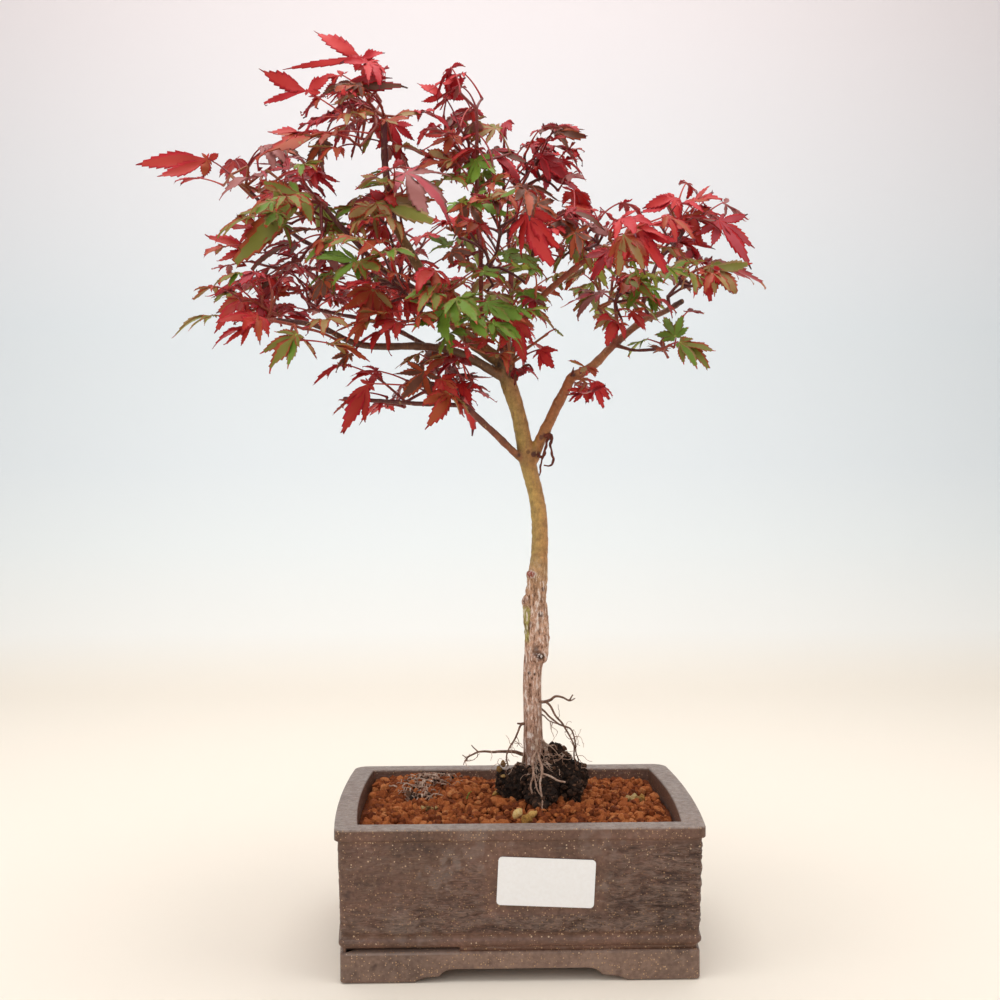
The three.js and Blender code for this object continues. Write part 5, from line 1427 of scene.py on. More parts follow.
# %% Masses of leaves
# Each mass: its name, its bough, where it leaves that if not at the tip, its seed, how many
# more leaves it has, the tint of those, and the rows of the leaves that show.
MASSES = [
    ("foliage_top", "leader_upper", None, 11, 5, "crimson", [
        (-85, 0, 491, -27, 6, 17, 35, "crimson"), (-114, -8, 470, -28, 6, 12, 30, "crimson"),
        (-95, -14, 472, 35, -10, -5, 20, "deep"), (-94, 6, 465, -18, 18, -3, 60, "deep"),
        (-71, -10, 454, 21, 4, 8, 35, "orange"), (-98, -20, 445, -43, -10, -15, 25, "orange"),
        (-105, 2, 449, -25, 6, 0, 40, "crimson"), (-68, 8, 457, 6, -4, -24, 60, "crimson")]),
    ("foliage_far_left", "bough_far_left", None, 12, 3, "red", [
        (-176, 30, 442, -48, 4, -1, 40, "red"), (-142, 22, 432, -28, -8, -8, 25, "mauve"),
        (-113, 10, 432, -20, -10, -16, 40, "pink"), (-131, 44, 440, -19, 16, 10, 40, "deep")]),
    ("foliage_upper_left", "bough_upper_left", None, 13, 6, "olive", [
        (-115, -34, 409, -31, -10, -38, 50, "olive"), (-143, -8, 382, -27, 6, 10, 55, "red"),
        (-125, -30, 394, -2, -14, -15, 60, "olive"), (-113, 0, 396, -15, 12, 4, 20, "brown")]),
    ("foliage_inner_left", "bough_front", None, 14, 6, "orange", [
        (-84, -44, 372, -22, -10, -3, 55, "green"), (-83, -48, 371, 16, -14, -8, 50, "olive"),
        (-76, -40, 358, -9, -10, -27, 80, "orange"), (-70, -34, 352, 3, -4, -26, 80, "red")]),
    ("foliage_centre", "bough_front", (-41, -21, 348), 15, 7, "green", [
        (-37, -52, 346, -20, -12, -10, 60, "green"), (-17, -52, 350, 19, -11, -12, 55, "green"),
        (-17, -42, 332, -11, -8, -8, 40, "red"), (-33, -34, 357, -13, -10, -4, 40, "orange")]),
    ("foliage_left", "bough_left", None, 16, 4, "red", [
        (-143, -44, 353, -15, -8, -15, 60, "red"), (-134, -40, 352, -2, -8, -16, 70, "pink"),
        (-114, -54, 333, -15, -4, -16, 55, "olive"), (-128, -30, 360, 14, -8, -7, 60, "red"),
        (-151, -34, 357, -12, 6, -2, 10, "olive")]),
    ("foliage_left_mid", "bough_left_mid", None, 17, 6, "red", [
        (-108, 10, 368, 16, -8, 1, 40, "mauve"), (-122, 16, 364, -17, 10, 6, 40, "red"),
        (-122, 30, 377, -14, 16, 7, 30, "deep")]),
    ("foliage_low_left", "bough_left_low", None, 18, 2, "orange", [
        (-80, -25, 309, -19, -8, -31, 60, "red"), (-50, -22, 316, -10, -10, -15, 70, "brown"),
        (-41, -26, 312, 8, -8, -14, 70, "red"), (-35, -12, 316, 22, 8, -7, 30, "mauve"),
        (-46, -2, 324, -5, 16, 11, 50, "brown"), (-62, -6, 310, -6, 14, -9, 50, "deep")]),
    ("foliage_leader", "leader_lower", (-68.5, 1.5, 404), 19, 8, "mauve", [
        (-59, -30, 421, 31, -10, -14, 60, "mauve"), (-75, -30, 405, 36, -14, -8, 40, "tan"),
        (-78, -26, 404, -8, -11, -17, 70, "tan"), (-56, 2, 423, 16, 11, 1, 15, "olive"),
        (-66, 24, 388, -11, 16, 8, 50, "crimson")]),
    ("foliage_upper", "bough_centre", None, 20, 9, "orange", [
        (-39, 0, 470, -18, 6, 12, 50, "crimson"), (-34, -10, 446, -18, -6, -8, 50, "red"),
        (-32, 4, 440, -10, -6, -14, 60, "orange"), (-10, 0, 453, -16, -4, -6, 40, "tan"),
        (-37, -8, 386, -15, 7, 4, 40, "green"), (-22, 12, 446, 8, 12, -9, 50, "deep")]),
    ("foliage_middle", "bough_centre", (-15, -25, 371), 21, 10, "crimson", [
        (4, -56, 395, 6, -10, -31, 80, "crimson"), (10, -44, 402, 20, -6, -23, 55, "brown"),
        (-22, -48, 405, 22, -10, -12, 45, "green"), (-25, -44, 403, -5, -8, -18, 70, "brown"),
        (8, -34, 373, -18, -8, -1, 45, "green"), (-12, -11, 371, 24, 8, 3, 30, "olive")]),
    ("foliage_upper_mid", "bough_centre_back", None, 22, 8, "pink", [
        (-2, 4, 456, 26, -9, -13, 50, "crimson"), (14, 6, 440, 16, -8, -17, 50, "deep"),
        (19, 18, 432, 25, -6, -9, 35, "pink"), (-18, 10, 430, 4, -12, -19, 60, "green"),
        (13, 22, 438, 16, 6, 7, 60, "crimson")]),
    ("foliage_upper_right", "bough_upper_right", (35, -33, 379), 23, 6, "olive", [
        (42, -20, 403, -17, 8, 7, 30, "red"), (36, -34, 393, 15, -8, -5, 40, "mauve"),
        (31, -46, 386, -5, -8, -15, 60, "olive"), (28, -20, 384, -8, 6, -13, 60, "olive")]),
    ("foliage_right", "bough_upper_right", None, 24, 4, "crimson", [
        (60, -60, 388, 17, -8, -26, 70, "crimson"), (66, -50, 390, 28, 8, 1, 20, "red"),
        (53, -62, 383, 10, -12, -19, 60, "orange"), (58, -42, 377, 7, 6, -13, 60, "green")]),
    ("foliage_far_right_top", "bough_right_upper", (73, 8, 357), 25, 3, "crimson", [
        (91, 6, 416, -15, -8, -13, 60, "crimson"), (102, 10, 415, 17, 6, 7, 30, "red"),
        (101, 14, 408, 5, -6, -20, 60, "red"), (116, 8, 404, 13, -7, -26, 60, "pink")]),
    ("foliage_far_right", "bough_right_stub", (88, 13, 361), 26, 3, "mauve", [
        (111, 6, 378, 17, -9, -18, 60, "tan"), (110, 16, 382, 38, 6, -12, 25, "mauve"),
        (101, 0, 380, -23, -8, -7, 40, "olive"), (108, 28, 384, 4, 17, 10, 60, "deep")]),
    ("foliage_right_low", "bough_right_twig", None, 27, 2, "green", [
        (90, -13, 333, 20, -4, -11, 60, "olive"), (89, -8, 336, -7, 6, 15, 60, "green")]),
    ("foliage_right_mid", "bough_right_spur", None, 28, 4, "green", [
        (71, -12, 366, -15, -8, -11, 55, "green"), (75, -4, 364, 8, -6, -14, 50, "green"),
        (49, -2, 361, -22, 10, 0, 30, "mauve"), (52, -16, 347, -11, -8, -7, 40, "tan"),
        (63, -20, 349, 8, -9, -8, 50, "red")]),
    ("foliage_inner_right", "trunk", (-1.6, -7.5, 322), 29, 3, "red", [
        (-1, -30, 343, 4, -4, -21, 70, "red"), (13, -20, 328, 6, -10, -10, 60, "crimson"),
        (3, -36, 357, 10, -7, -13, 50, "green")]),
    ("foliage_fork_shoot", "bough_right_lower", (36, -9.5, 313), 30, 0, "crimson", [
        (44, -10, 311, 3, -4, -13, 60, "crimson"), (38, -14, 307, -7, -4, -8, 50, "red")]),
    ("foliage_back_left", "bough_back_left", None, 31, 14, "red", []),
    ("foliage_back", "bough_back", None, 32, 16, "orange", []),
    ("foliage_back_right", "bough_back_right", None, 33, 13, "olive", []),
]
print("masses", len(MASSES), "with", sum(len(mass[6]) for mass in MASSES), "leaves that show")

# %% Hidden masses and small leaves
# Masses at the back have no rows, but a middle and a reach.
HIDDEN_REACH = {
    "foliage_back_left": ((-74, 74, 392), (48, 24, 38)),
    "foliage_back": ((0, 74, 388), (42, 24, 44)),
    "foliage_back_right": ((64, 62, 378), (44, 26, 32)),
}
# Smaller leaves that also show, too fine for the solids.
SMALL_LEAVES = {
    "foliage_top": [(-106, -10, 443, -1, -4, -18, 60, "brown"), (-87, 14, 456, -5, 6, -15, 60, "deep")],
    "foliage_far_left": [(-115, 4, 430, 16, -6, -11, 60, "crimson")],
    "foliage_upper_left": [(-132, -20, 367, -4, -10, -9, 50, "deep"),
                           (-103, -44, 383, 0, -12, -8, 40, "orange"),
                           (-102, -6, 398, 10, -12, -7, 40, "olive")],
    "foliage_inner_left": [(-103, -36, 363, 4, -8, -13, 70, "brown")],
    "foliage_left": [(-89, -42, 324, -8, -2, -10, 60, "brown")],
    "foliage_left_mid": [(-103, 24, 365, 9, 10, -7, 50, "pink")],
    "foliage_low_left": [(-30, -14, 310, 8, -8, -8, 50, "crimson")],
    "foliage_centre": [(-27, -30, 354, 2, 0, -12, 70, "brown"), (-58, -20, 357, 6, -4, -14, 70, "red")],
    "foliage_leader": [(-63, 22, 397, -11, 12, 2, 60, "pink"), (-68, -8, 420, -18, 14, 5, 20, "olive")],
    "foliage_upper": [(-37, 0, 470, 9, -4, 7, 60, "crimson"), (-35, 8, 461, 8, -4, -7, 60, "deep"),
                      (-35, -16, 445, -15, -8, 0, 20, "mauve"), (-35, -14, 382, 9, -10, -7, 60, "brown")],
    "foliage_upper_mid": [(-5, 12, 459, 1, -10, -12, 50, "pink"), (12, 10, 434, 17, -6, -5, 20, "red"),
                          (-22, -14, 432, 3, -12, -19, 60, "green"), (-12, 0, 441, 16, -8, -17, 50, "deep")],
    "foliage_middle": [(1, -30, 404, -3, 8, 9, 50, "mauve"), (-21, -16, 398, -4, -2, -10, 70, "deep")],
    "foliage_upper_right": [(29, -56, 385, 4, -10, -13, 60, "brown"), (49, -10, 405, 6, 10, -4, 50, "red")],
    "foliage_right": [(47, -50, 377, -10, -6, -14, 60, "deep"), (55, -40, 386, -8, 10, -4, 40, "mauve")],
    "foliage_far_right_top": [(107, 20, 414, 16, 10, -9, 40, "crimson")],
    "foliage_far_right": [(110, 8, 377, 1, -8, -17, 60, "crimson"), (99, 22, 383, 3, 12, 12, 50, "mauve")],
    "foliage_right_low": [(100, 16, 353, 9, 4, 2, 20, "mauve"), (84, 4, 330, -7, 8, 6, 40, "brown")],
    "foliage_inner_right": [(23, 0, 341, 4, 4, -4, 30, "olive"), (-9, -10, 347, 4, -6, -13, 60, "deep")],
}
# The leaves that stand alone on the tree's outline, by their hub's x and z: the angle of
# each of the seven lobes from the middle one, its share of the leaf's length, and how
# broad it looks. A lobe that points away from the camera is short.
OUTLINE_LEAVES = {
    (-85, 491): [(-180, -136, -60, 0, 40, 88, 130), (0.41, 0.43, 0.06, 1.0, 1.36, 0.26, 0.06),
                 (1.4, 1.5, 1, 1.1, 0.3, 2.0, 1)],
    (-114, 470): [(-171, -128, -60, 0, 30, 90, 130), (0.29, 0.49, 0.05, 1.0, 0.99, 0.08, 0.05),
                  (1.3, 1.7, 1, 1.1, 0.4, 1, 1)],
    (-176, 442): [(-172, -110, -50, 0, 29, 80, 130), (0.2, 0.08, 0.1, 1.0, 0.65, 0.25, 0.1),
                  (1.4, 1, 1, 0.85, 1.0, 2.0, 1)],
    (-95, 472): [(-165, -145, -14, 0, 13, 60, 120), (0.06, 0.3, 0.4, 1.1, 0.85, 0.06, 0.05),
                 (1, 2.0, 1.0, 0.55, 0.55, 1, 1)],
    (-39, 470): [(-153, -107, -50, 3, 40, 90, 130), (0.62, 0.72, 0.06, 0.85, 0.65, 0.06, 0.05),
                 (0.9, 1.6, 1, 1.1, 0.8, 1, 1)],
    (-80, 309): [(-128, -84, -20, 0, 22, 84, 128), (0.1, 0.15, 0.5, 1.0, 0.6, 0.15, 0.1),
                 (1, 1, 0.8, 0.8, 0.8, 1, 1)],
}
FACING = 88
print("small leaves", sum(len(rows) for rows in SMALL_LEAVES.values()))

# %% [markdown]
# The rule: each mass keeps to the points that are nearer to its own leaves than to any
# other mass's. A leaf's stalk runs back towards the bough. Leaves stand in pairs, so each
# that shows has a partner that points to the back. Twigs join the leaves' feet, the
# nearest first, to the joint that is cheapest to reach, and pass every bough with room.

# %% Room round the boughs
LOBE_ANGLES = (-82, -40, 0, 40, 82)
LOBE_SHARES = (0.56, 0.86, 1, 0.86, 0.56)
DROOP = 0.26
STALK = 0.95
STALK_ROOM = 2
TRUNK_LINE = np.array(TRUNK, float)

limb_ways = [(TRUNK_LINE[:, :3], TRUNK_LINE[:, 3])] + [limb_line(limb) for limb in LIMBS]
limb_starts = np.concatenate([line[:-1] for line, _ in limb_ways])
limb_steps = np.concatenate([np.diff(line, axis=0) for line, _ in limb_ways])
limb_radii = np.concatenate([radii[:-1] for _, radii in limb_ways])


def nearest_spots(starts, steps, place):
    """The place of each straight piece of a line that is nearest to a place."""
    share = ((place - starts) * steps).sum(1) / (steps ** 2).sum(1)
    return starts + np.clip(share, 0, 1)[:, None] * steps


def clear_of_limbs(point, room):
    apart = np.linalg.norm(nearest_spots(limb_starts, limb_steps, point) - point, axis=1)
    return bool((apart >= limb_radii + room).all())


print("straight pieces of boughs", len(limb_starts))

# %% Leaves and masses
class Leaf:
    def __init__(self, mass, hub, along, open_angle, tint):
        self.mass = mass
        self.hub = np.array(hub, float)
        self.along = np.array(along, float)
        self.open = open_angle
        self.tint = tint
        self.length = np.linalg.norm(along)
        self.trims = [1] * len(LOBE_ANGLES)
        self.shown = False
        self.lobes = None
        self.root = stalk_root(self)


class Mass:
    def __init__(self, name, on, foot, seed, more, tint, rows):
        self.name = name
        self.seed = seed
        self.more = more
        self.tint = tint
        self.rows = rows
        self.middle, self.reach = HIDDEN_REACH.get(name, (None, (17, 24, 15)))
        limb = next((limb for limb in LIMBS if limb[0] == on), None)
        line = limb_line(limb)[0] if limb else TRUNK_LINE[:, :3]
        if foot:
            self.foot = np.array(foot, float)
            spots = nearest_spots(line[:-1], np.diff(line, axis=0), self.foot)
            self.start = spots[np.argmin(np.linalg.norm(spots - self.foot, axis=1))]
        else:
            way = unit(line[-1] - line[-2])
            self.start = line[-1] - way
            self.foot = line[-1] + 3 * way


def stalk_root(leaf):
    """Where a leaf's stalk leaves its twig: back from the blade, towards the mass's foot."""
    to_foot = leaf.mass.foot - leaf.hub
    back = unit(unit(to_foot) * 0.55 - unit(leaf.along) * 0.45 - UP * 0.3)
    longest = min(STALK * leaf.length, 0.6 * np.linalg.norm(to_foot))
    roots = [leaf.hub + back * part * longest for part in (1, 0.75, 0.5)]
    return next((root for root in roots if clear_of_limbs(root, STALK_ROOM)), roots[0])


def leaf_frame(leaf):
    """The way a leaf points, the way across it and the way its upper side faces."""
    along = unit(leaf.along)
    over = UP - along * along.dot(UP)
    if np.linalg.norm(over) < 0.25:
        over = FRONT - along * along.dot(FRONT)
    over = unit(over)
    side = np.cross(over, along)
    turn = math.radians(leaf.open) * (1 if side[1] < 0 else -1)
    up = over * math.cos(turn) + side * math.sin(turn)
    return along, np.cross(up, along), up


def blade_point(leaf, far, degrees):
    along, across, _ = leaf_frame(leaf)
    turn = math.radians(degrees)
    spot = leaf.hub + along * far * math.cos(turn) + across * far * math.sin(turn)
    return spot - UP * DROOP * far * far / leaf.length


def shown_leaf(mass, row):
    leaf = Leaf(mass, row[:3], row[3:6], row[6], row[7])
    leaf.shown = True
    leaf.lobes = OUTLINE_LEAVES.get((row[0], row[2]))
    return leaf


print("stalk of a leaf 20 mm long", 20 * STALK, "mm at most")

# %% Each mass's own space
STEM_STEP = 9

masses = [Mass(*row) for row in MASSES]
sites = []
for mass in masses:
    mass.shown = [shown_leaf(mass, row) for row in mass.rows]
    own = [spot for leaf in mass.shown for spot in (leaf.hub, leaf.root, leaf.hub + 0.5 * leaf.along)]
    middle = [np.array(mass.middle, float)] if mass.middle else []
    reached = [mass.foot]
    roots = [leaf.root for leaf in mass.shown] + middle
    for root in sorted(roots, key=lambda root: np.linalg.norm(root - mass.foot)):
        nearest = min(reached, key=lambda spot: np.linalg.norm(spot - root))
        steps = int(np.linalg.norm(nearest - root) / STEM_STEP)
        own += [nearest + (root - nearest) * k / steps for k in range(1, steps)]
        reached.append(root)
    sites += [(spot, mass.seed) for spot in own + middle + [mass.foot]]
site_places = np.array([spot for spot, _ in sites])
site_seeds = np.array([seed for _, seed in sites])
print("sites", len(sites), "of", len(masses), "masses")


def in_own_space(point, mass, margin):
    """Whether a point is nearer to this mass's sites than to any other's, with a margin."""
    apart = np.linalg.norm(site_places - point, axis=1)
    own = site_seeds == mass.seed
    nearest = np.argmin(np.where(own, apart, np.inf))
    spacing = np.linalg.norm(site_places[~own] - site_places[nearest], axis=1)
    return bool(((apart[~own] ** 2 - apart[nearest] ** 2) / (2 * spacing) > margin).all())


# %% Which leaves have room
BLADE_MARGIN = 0.6
TWIG_MARGIN = 1.3
LIMB_MARGIN = 1.6
TRIMS = (1, 0.85, 0.7, 0.55, 0.4, 0.25)
# Where the photograph shows sky or bare wood: x and z as the camera sees them on the
# upright plane through the trunk, and the radius.
OPEN_SKY = [
    (-153, 456, 8), (-166, 450, 6), (-136, 458, 6), (-172, 403, 5), (-189, 406, 8), (-185, 380, 8),
    (-121, 471, 7), (-72, 472, 3), (-64, 469, 4), (-60, 484, 8), (-61, 447, 3), (-51, 410, 7), (-57, 399, 4),
    (-91, 420, 4), (-128, 403, 3), (-99, 406, 2), (-121, 391, 2), (-133, 380, 2), (-91, 390, 2),
    (-93, 365, 2), (-32, 407, 2), (-11, 385, 5), (23, 377, 4), (35, 344, 9), (40, 330, 6), (49, 361, 3),
    (26, 330, 4), (19, 428, 3), (42, 416, 5), (67, 416, 7), (68, 428, 8), (117, 425, 9), (145, 386, 8),
    (131, 370, 4), (126, 347, 11), (103, 361, 4), (101, 343, 4), (86, 342, 2), (71, 338, 3), (70, 318, 8),
    (97, 311, 11), (123, 318, 11), (60, 337, 3), (59, 313, 5), (20, 302, 5), (39, 290, 6), (18, 316, 4),
]
# Places on a blade: the share of its length, and the angle from its middle lobe.
SPREAD = [(0, 0), (0.5, 0), (0.95, 0), (0.75, -41), (0.75, 41), (0.45, -84), (0.45, 84)]


def trim_lobes(leaf):
    """Cuts each lobe back until it keeps to its mass's space and clear of the limbs."""
    for lobe, (degrees, share) in enumerate(zip(LOBE_ANGLES, LOBE_SHARES)):
        leaf.trims[lobe] = 0
        for trim in TRIMS:
            spots = [blade_point(leaf, leaf.length * share * trim * part, degrees) for part in (0.5, 1)]
            if all(in_own_space(s, leaf.mass, BLADE_MARGIN) and clear_of_limbs(s, LIMB_MARGIN)
                   for s in spots):
                leaf.trims[lobe] = trim
                break
    return leaf.trims[2] > (0.3 if leaf.shown else 0.5) and min(leaf.trims) > 0


def open_way(start, end, mass):
    """Whether a twig from start to end keeps clear of the limbs and in its mass's space."""
    spots = [start + (end - start) * part for part in (0.3, 0.5, 0.7, 0.85, 1)]
    return all(clear_of_limbs(s, TWIG_MARGIN) and in_own_space(s, mass, TWIG_MARGIN) for s in spots)


def in_the_open(leaf):
    """Whether a leaf would cover a place that the photograph shows open."""
    eye = np.array(CAMERA_PLACE)
    spots = np.array([blade_point(leaf, leaf.length * far, degrees) for far, degrees in SPREAD])
    seen = eye + (spots - eye) * (eye[1] / (eye[1] - spots[:, 1]))[:, None]
    places = np.array(OPEN_SKY, float)
    apart = np.hypot(seen[:, None, 0] - places[:, 0], seen[:, None, 2] - places[:, 1])
    return bool((apart < places[:, 2]).any())


print("open places", len(OPEN_SKY))

# %% Seeded leaves
def seeded_numbers(seed):
    """The same row of numbers from 0 to 1 for the same seed, here and in the solids."""
    state = seed * 7919 + 17
    while True:
        state = (state * 1664525 + 1013904223) & 0xFFFFFFFF
        yield state / 4294967296


def between(draw, low, high):
    """The next seeded number, from low to high."""
    return low + (high - low) * next(draw)


def partner_of(leaf, draw):
    """A leaf that shares a shown leaf's root and points to the back."""
    stalk = leaf.hub - leaf.root
    hub = leaf.root + np.array([
        -0.5 * stalk[0] + between(draw, -4, 4),
        abs(stalk[1]) + 0.5 * abs(stalk[0]) + between(draw, 6, 12),
        stalk[2] * between(draw, 0.5, 1.1)])
    size = leaf.length * between(draw, 0.62, 0.87)
    turn = math.pi * between(draw, 0.2, 0.8)
    along = unit([math.cos(turn), math.sin(turn), -between(draw, 0.2, 0.6)]) * size
    partner = Leaf(leaf.mass, hub, along, between(draw, 20, 60), leaf.tint)
    partner.root = leaf.root.copy()
    return partner


def seeded_leaf(mass, draw, size):
    """A leaf somewhere round a shown one, or round the middle of a hidden mass."""
    row = mass.rows[int(next(draw) * len(mass.rows))] if mass.rows else (*mass.middle, mass.tint)
    offset = unit([next(draw) - 0.5 for _ in range(3)])
    offset = offset * (1 if mass.rows else between(draw, 0.45, 1.05)) * np.array(mass.reach)
    hub = np.array(row[:3], float) + offset
    out = unit((hub - mass.foot) * np.array([1, 1, 0]))
    turn = between(draw, -0.9, 0.9)
    out = [out[0] * math.cos(turn) - out[1] * math.sin(turn),
           out[0] * math.sin(turn) + out[1] * math.cos(turn), -between(draw, 0.15, 0.65)]
    along = unit(out) * size * between(draw, 17, 28)
    return Leaf(mass, hub, along, between(draw, 15, 65), row[-1])


print("first number of seed 11", round(next(seeded_numbers(11)), 4))

# %% Grow each mass and join its leaves
CROWDING = 0.5
FINER_SHARE = 1.15
FINER_SIZE = 0.82
FINER_CROWDING = 0.36
FINER_DIP = 0.4
DETOUR = 0.35


def has_room(leaf, leaves, crowding):
    return all(np.linalg.norm(other.hub - leaf.hub) > crowding * leaf.length for other in leaves)


def grow_mass(mass):
    """The solids' leaves by the solids' rule, then the small ones that only show here."""
    draw = seeded_numbers(mass.seed)
    partners = [partner_of(leaf, draw) for leaf in mass.shown]
    seeded = [seeded_leaf(mass, draw, 1) for _ in range(mass.more)]
    leaves = []
    for leaf in mass.shown + partners + seeded:
        room = leaf.shown or has_room(leaf, leaves, CROWDING)
        if room and open_way(leaf.hub, leaf.root, mass) and trim_lobes(leaf):
            leaves.append(leaf)
    finer = 3 + int(FINER_SHARE * (len(leaves) + mass.more))
    leaves = [leaf for leaf in leaves if leaf.shown or not in_the_open(leaf)]
    leaves += [shown_leaf(mass, row) for row in SMALL_LEAVES.get(mass.name, [])]
    for _ in range(finer):
        leaf = seeded_leaf(mass, draw, FINER_SIZE)
        leaf.along[2] *= FINER_DIP
        room = has_room(leaf, leaves, FINER_CROWDING)
        if room and not in_the_open(leaf) and open_way(leaf.hub, leaf.root, mass):
            leaves.append(leaf)
    return leaves


class Joint:
    def __init__(self, at, far, parent):
        self.at = at
        self.far = far
        self.parent = parent
        self.load = 0


def join_to_foot(mass):
    """Joins each leaf's root to the joint that is cheapest to reach, and counts the loads."""
    joints = [Joint(mass.foot, 0, None)]
    for leaf in sorted(mass.leaves, key=lambda leaf: np.linalg.norm(leaf.root - mass.foot)):
        joint = next((j for j in joints if np.linalg.norm(j.at - leaf.root) < 0.5), None)
        if not joint:
            ranked = sorted(joints, key=lambda j: np.linalg.norm(j.at - leaf.root) + DETOUR * j.far)
            best = next((j for j in ranked if open_way(j.at, leaf.root, mass)), ranked[0])
            joint = Joint(leaf.root, best.far + np.linalg.norm(best.at - leaf.root), best)
            joints.append(joint)
        while joint:
            joint.load += 1
            joint = joint.parent
    return joints


for mass in masses:
    mass.leaves = grow_mass(mass)
    mass.joints = join_to_foot(mass)

# %% [markdown]
# A maple leaf is a hand of narrow lobes joined at the hub. Each lobe here is a small grid
# with forward-pointing teeth at its rim, folded a little along its midrib, with its own
# turn, arch and curl. Neighbouring lobes share the points between them up to the notch,
# so a leaf is one closed skin with an upper and a lower side, as thin as the real one.

# %% The leaf's pattern of points and faces
LEAF_ANGLES = np.radians([-128, -84, -41, 0, 41, 84, 128])
LEAF_SHARES = np.array([0.26, 0.56, 0.86, 1.0, 0.86, 0.56, 0.26])
LOBES = len(LEAF_ANGLES)
FINE_STATIONS = 20
COARSE_STATIONS = 14
FINE_LENGTH = 20
NOTCH_SHARE = 0.22
ACROSS = np.array([-1, -0.62, 0, 0.62, 1])
MIDDLE, EDGE, TIP, HEART, UNDER, UNDER_EDGE = range(6)


def place_key(lobe, station, column, side, stations, notch_station):
    """A name for each place of a lobe's grid. Places with the same name are one point."""
    last = len(ACROSS) - 1
    seam = lobe - 1 if column == 0 else lobe
    if station == 0:
        return "hub", side
    if station == stations:
        return "tip", lobe
    if column not in (0, last):
        return "inner", lobe, station, column, side
    if station > notch_station or seam in (-1, LOBES - 1):
        return "rim", lobe, station, column
    if station == notch_station:
        return "notch", seam
    return "seam", seam, station, side


def zone_of(station, stations, column, side):
    """Which of a tint's six colours a face takes."""
    if station < 2 and not side:
        return HEART
    if station >= stations - 2:
        return TIP
    if column in (1, 2):
        return UNDER if side else MIDDLE
    return UNDER_EDGE if side else EDGE


class LeafPattern:
    """Numbers each place of the lobes' grids, and lists the faces with their lobe and zone."""

    def __init__(self, stations):
        self.stations = stations
        self.notch_station = round(NOTCH_SHARE * stations)
        self.numbers = np.empty((LOBES, stations + 1, len(ACROSS), 2), int)
        self.faces = {3: [], 4: []}
        known = {}
        for at in np.ndindex(self.numbers.shape):
            key = place_key(*at, stations, self.notch_station)
            self.numbers[at] = known.setdefault(key, len(known))
        self.points = len(known)
        for lobe, station, column, side in np.ndindex(LOBES, stations, len(ACROSS) - 1, 2):
            (a, d), (b, c) = self.numbers[lobe, station:station + 2, column:column + 2, side]
            corners = [a, b, c, d]
            if station == 0:
                corners = [a, b, c]
            elif station == stations - 1:
                corners = [a, b, d]
            face = (corners[::-1] if side else corners, lobe, zone_of(station, stations, column, side))
            self.faces[len(corners)].append(face)


LEAF_PATTERNS = [LeafPattern(FINE_STATIONS), LeafPattern(COARSE_STATIONS)]
for pattern in LEAF_PATTERNS:
    print("points a leaf", pattern.points, "triangles", len(pattern.faces[3]) + 2 * len(pattern.faces[4]))

# %% How each leaf's lobes are turned, folded and curled
NOTCH = 0.15
LOBE_WIDTH = 0.13
LEAST_TRIM = 0.62
CURLED_SHARE = 0.35


def lobe_lengths(leaf):
    """How far each lobe's trim lets it reach, kept near its natural length."""
    basal = [leaf.trims[0], *leaf.trims, leaf.trims[-1]]
    return np.maximum(np.array(basal, float), LEAST_TRIM)


def by_hand(values):
    """A value between lobes, for the left and the right side of each lobe."""
    return np.stack([np.column_stack([values[:, :1], values]), np.column_stack([values, values[:, -1:]])])


class Lobes:
    """Seeded shapes for the lobes of some leaves, one row for a leaf."""

    def __init__(self, leaves, draw):
        shape = (len(leaves), LOBES)
        self.size = np.array([leaf.length for leaf in leaves])[:, None]
        self.shown = np.array([leaf.shown for leaf in leaves])[:, None]
        self.free = np.array([0 if leaf.lobes else 1 for leaf in leaves])[:, None]
        spread = draw.uniform(0.6, 1.02, (shape[0], 1))
        self.angle = LEAF_ANGLES * spread + np.radians(draw.normal(0, 6, shape))
        self.length = self.size * LEAF_SHARES * np.array([lobe_lengths(leaf) for leaf in leaves])
        self.length = self.length * draw.uniform(0.84, 1.12, shape)
        self.length[:, LOBES // 2] = self.size[:, 0] * draw.uniform(1.0, 1.1, shape[0])
        broad = draw.uniform(0.8, 1.3, shape)
        for row, leaf in enumerate(leaves):
            if leaf.lobes:
                self.angle[row] = np.radians(leaf.lobes[0])
                self.length[row] = leaf.length * np.array(leaf.lobes[1])
                broad[row] = leaf.lobes[2]
        gap = np.diff(self.angle, axis=1) / 2
        self.middle = self.angle[:, :-1] + gap
        self.notch = NOTCH * np.minimum(self.length[:, :-1], self.length[:, 1:])
        self.lateral = by_hand(self.notch) * np.sin(by_hand(gap))
        self.reached = (by_hand(self.notch) * np.cos(by_hand(gap))).mean(0)
        self.width = LOBE_WIDTH * self.length * broad + 0.3
        self.fold = draw.uniform(0.05, 0.62, shape) * np.where(self.shown, 0.6, 1.0)
        self.rise = draw.normal(0.08, 0.18, shape)
        arched = draw.normal(0, 1, shape)
        self.arch = arched * np.where(self.shown, 0.26, 0.42) - np.where(self.shown, 0.15, 0.4)
        self.sway = draw.normal(0, 0.32, shape) * np.where(self.free, 1, 0.4)
        self.twist = draw.normal(0, 0.6, shape)
        curled = draw.random(shape) < CURLED_SHARE
        self.curl = np.where(curled, draw.normal(-0.6, 2.6, shape), draw.normal(0, 0.6, shape))
        self.wave = draw.uniform(0, 0.35, (*shape, 2))
        self.phase = draw.uniform(0, 2 * math.pi, (*shape, 2))


print("lobes of a leaf", LOBES)

# %% Where the points of the leaves lie
HALF_THICK = 0.11
TOOTH = 1.06
BITE = 0.15
# A lobe is widest two fifths of the way from its notch to its tip. This makes that 1.
WIDEST = 5.38


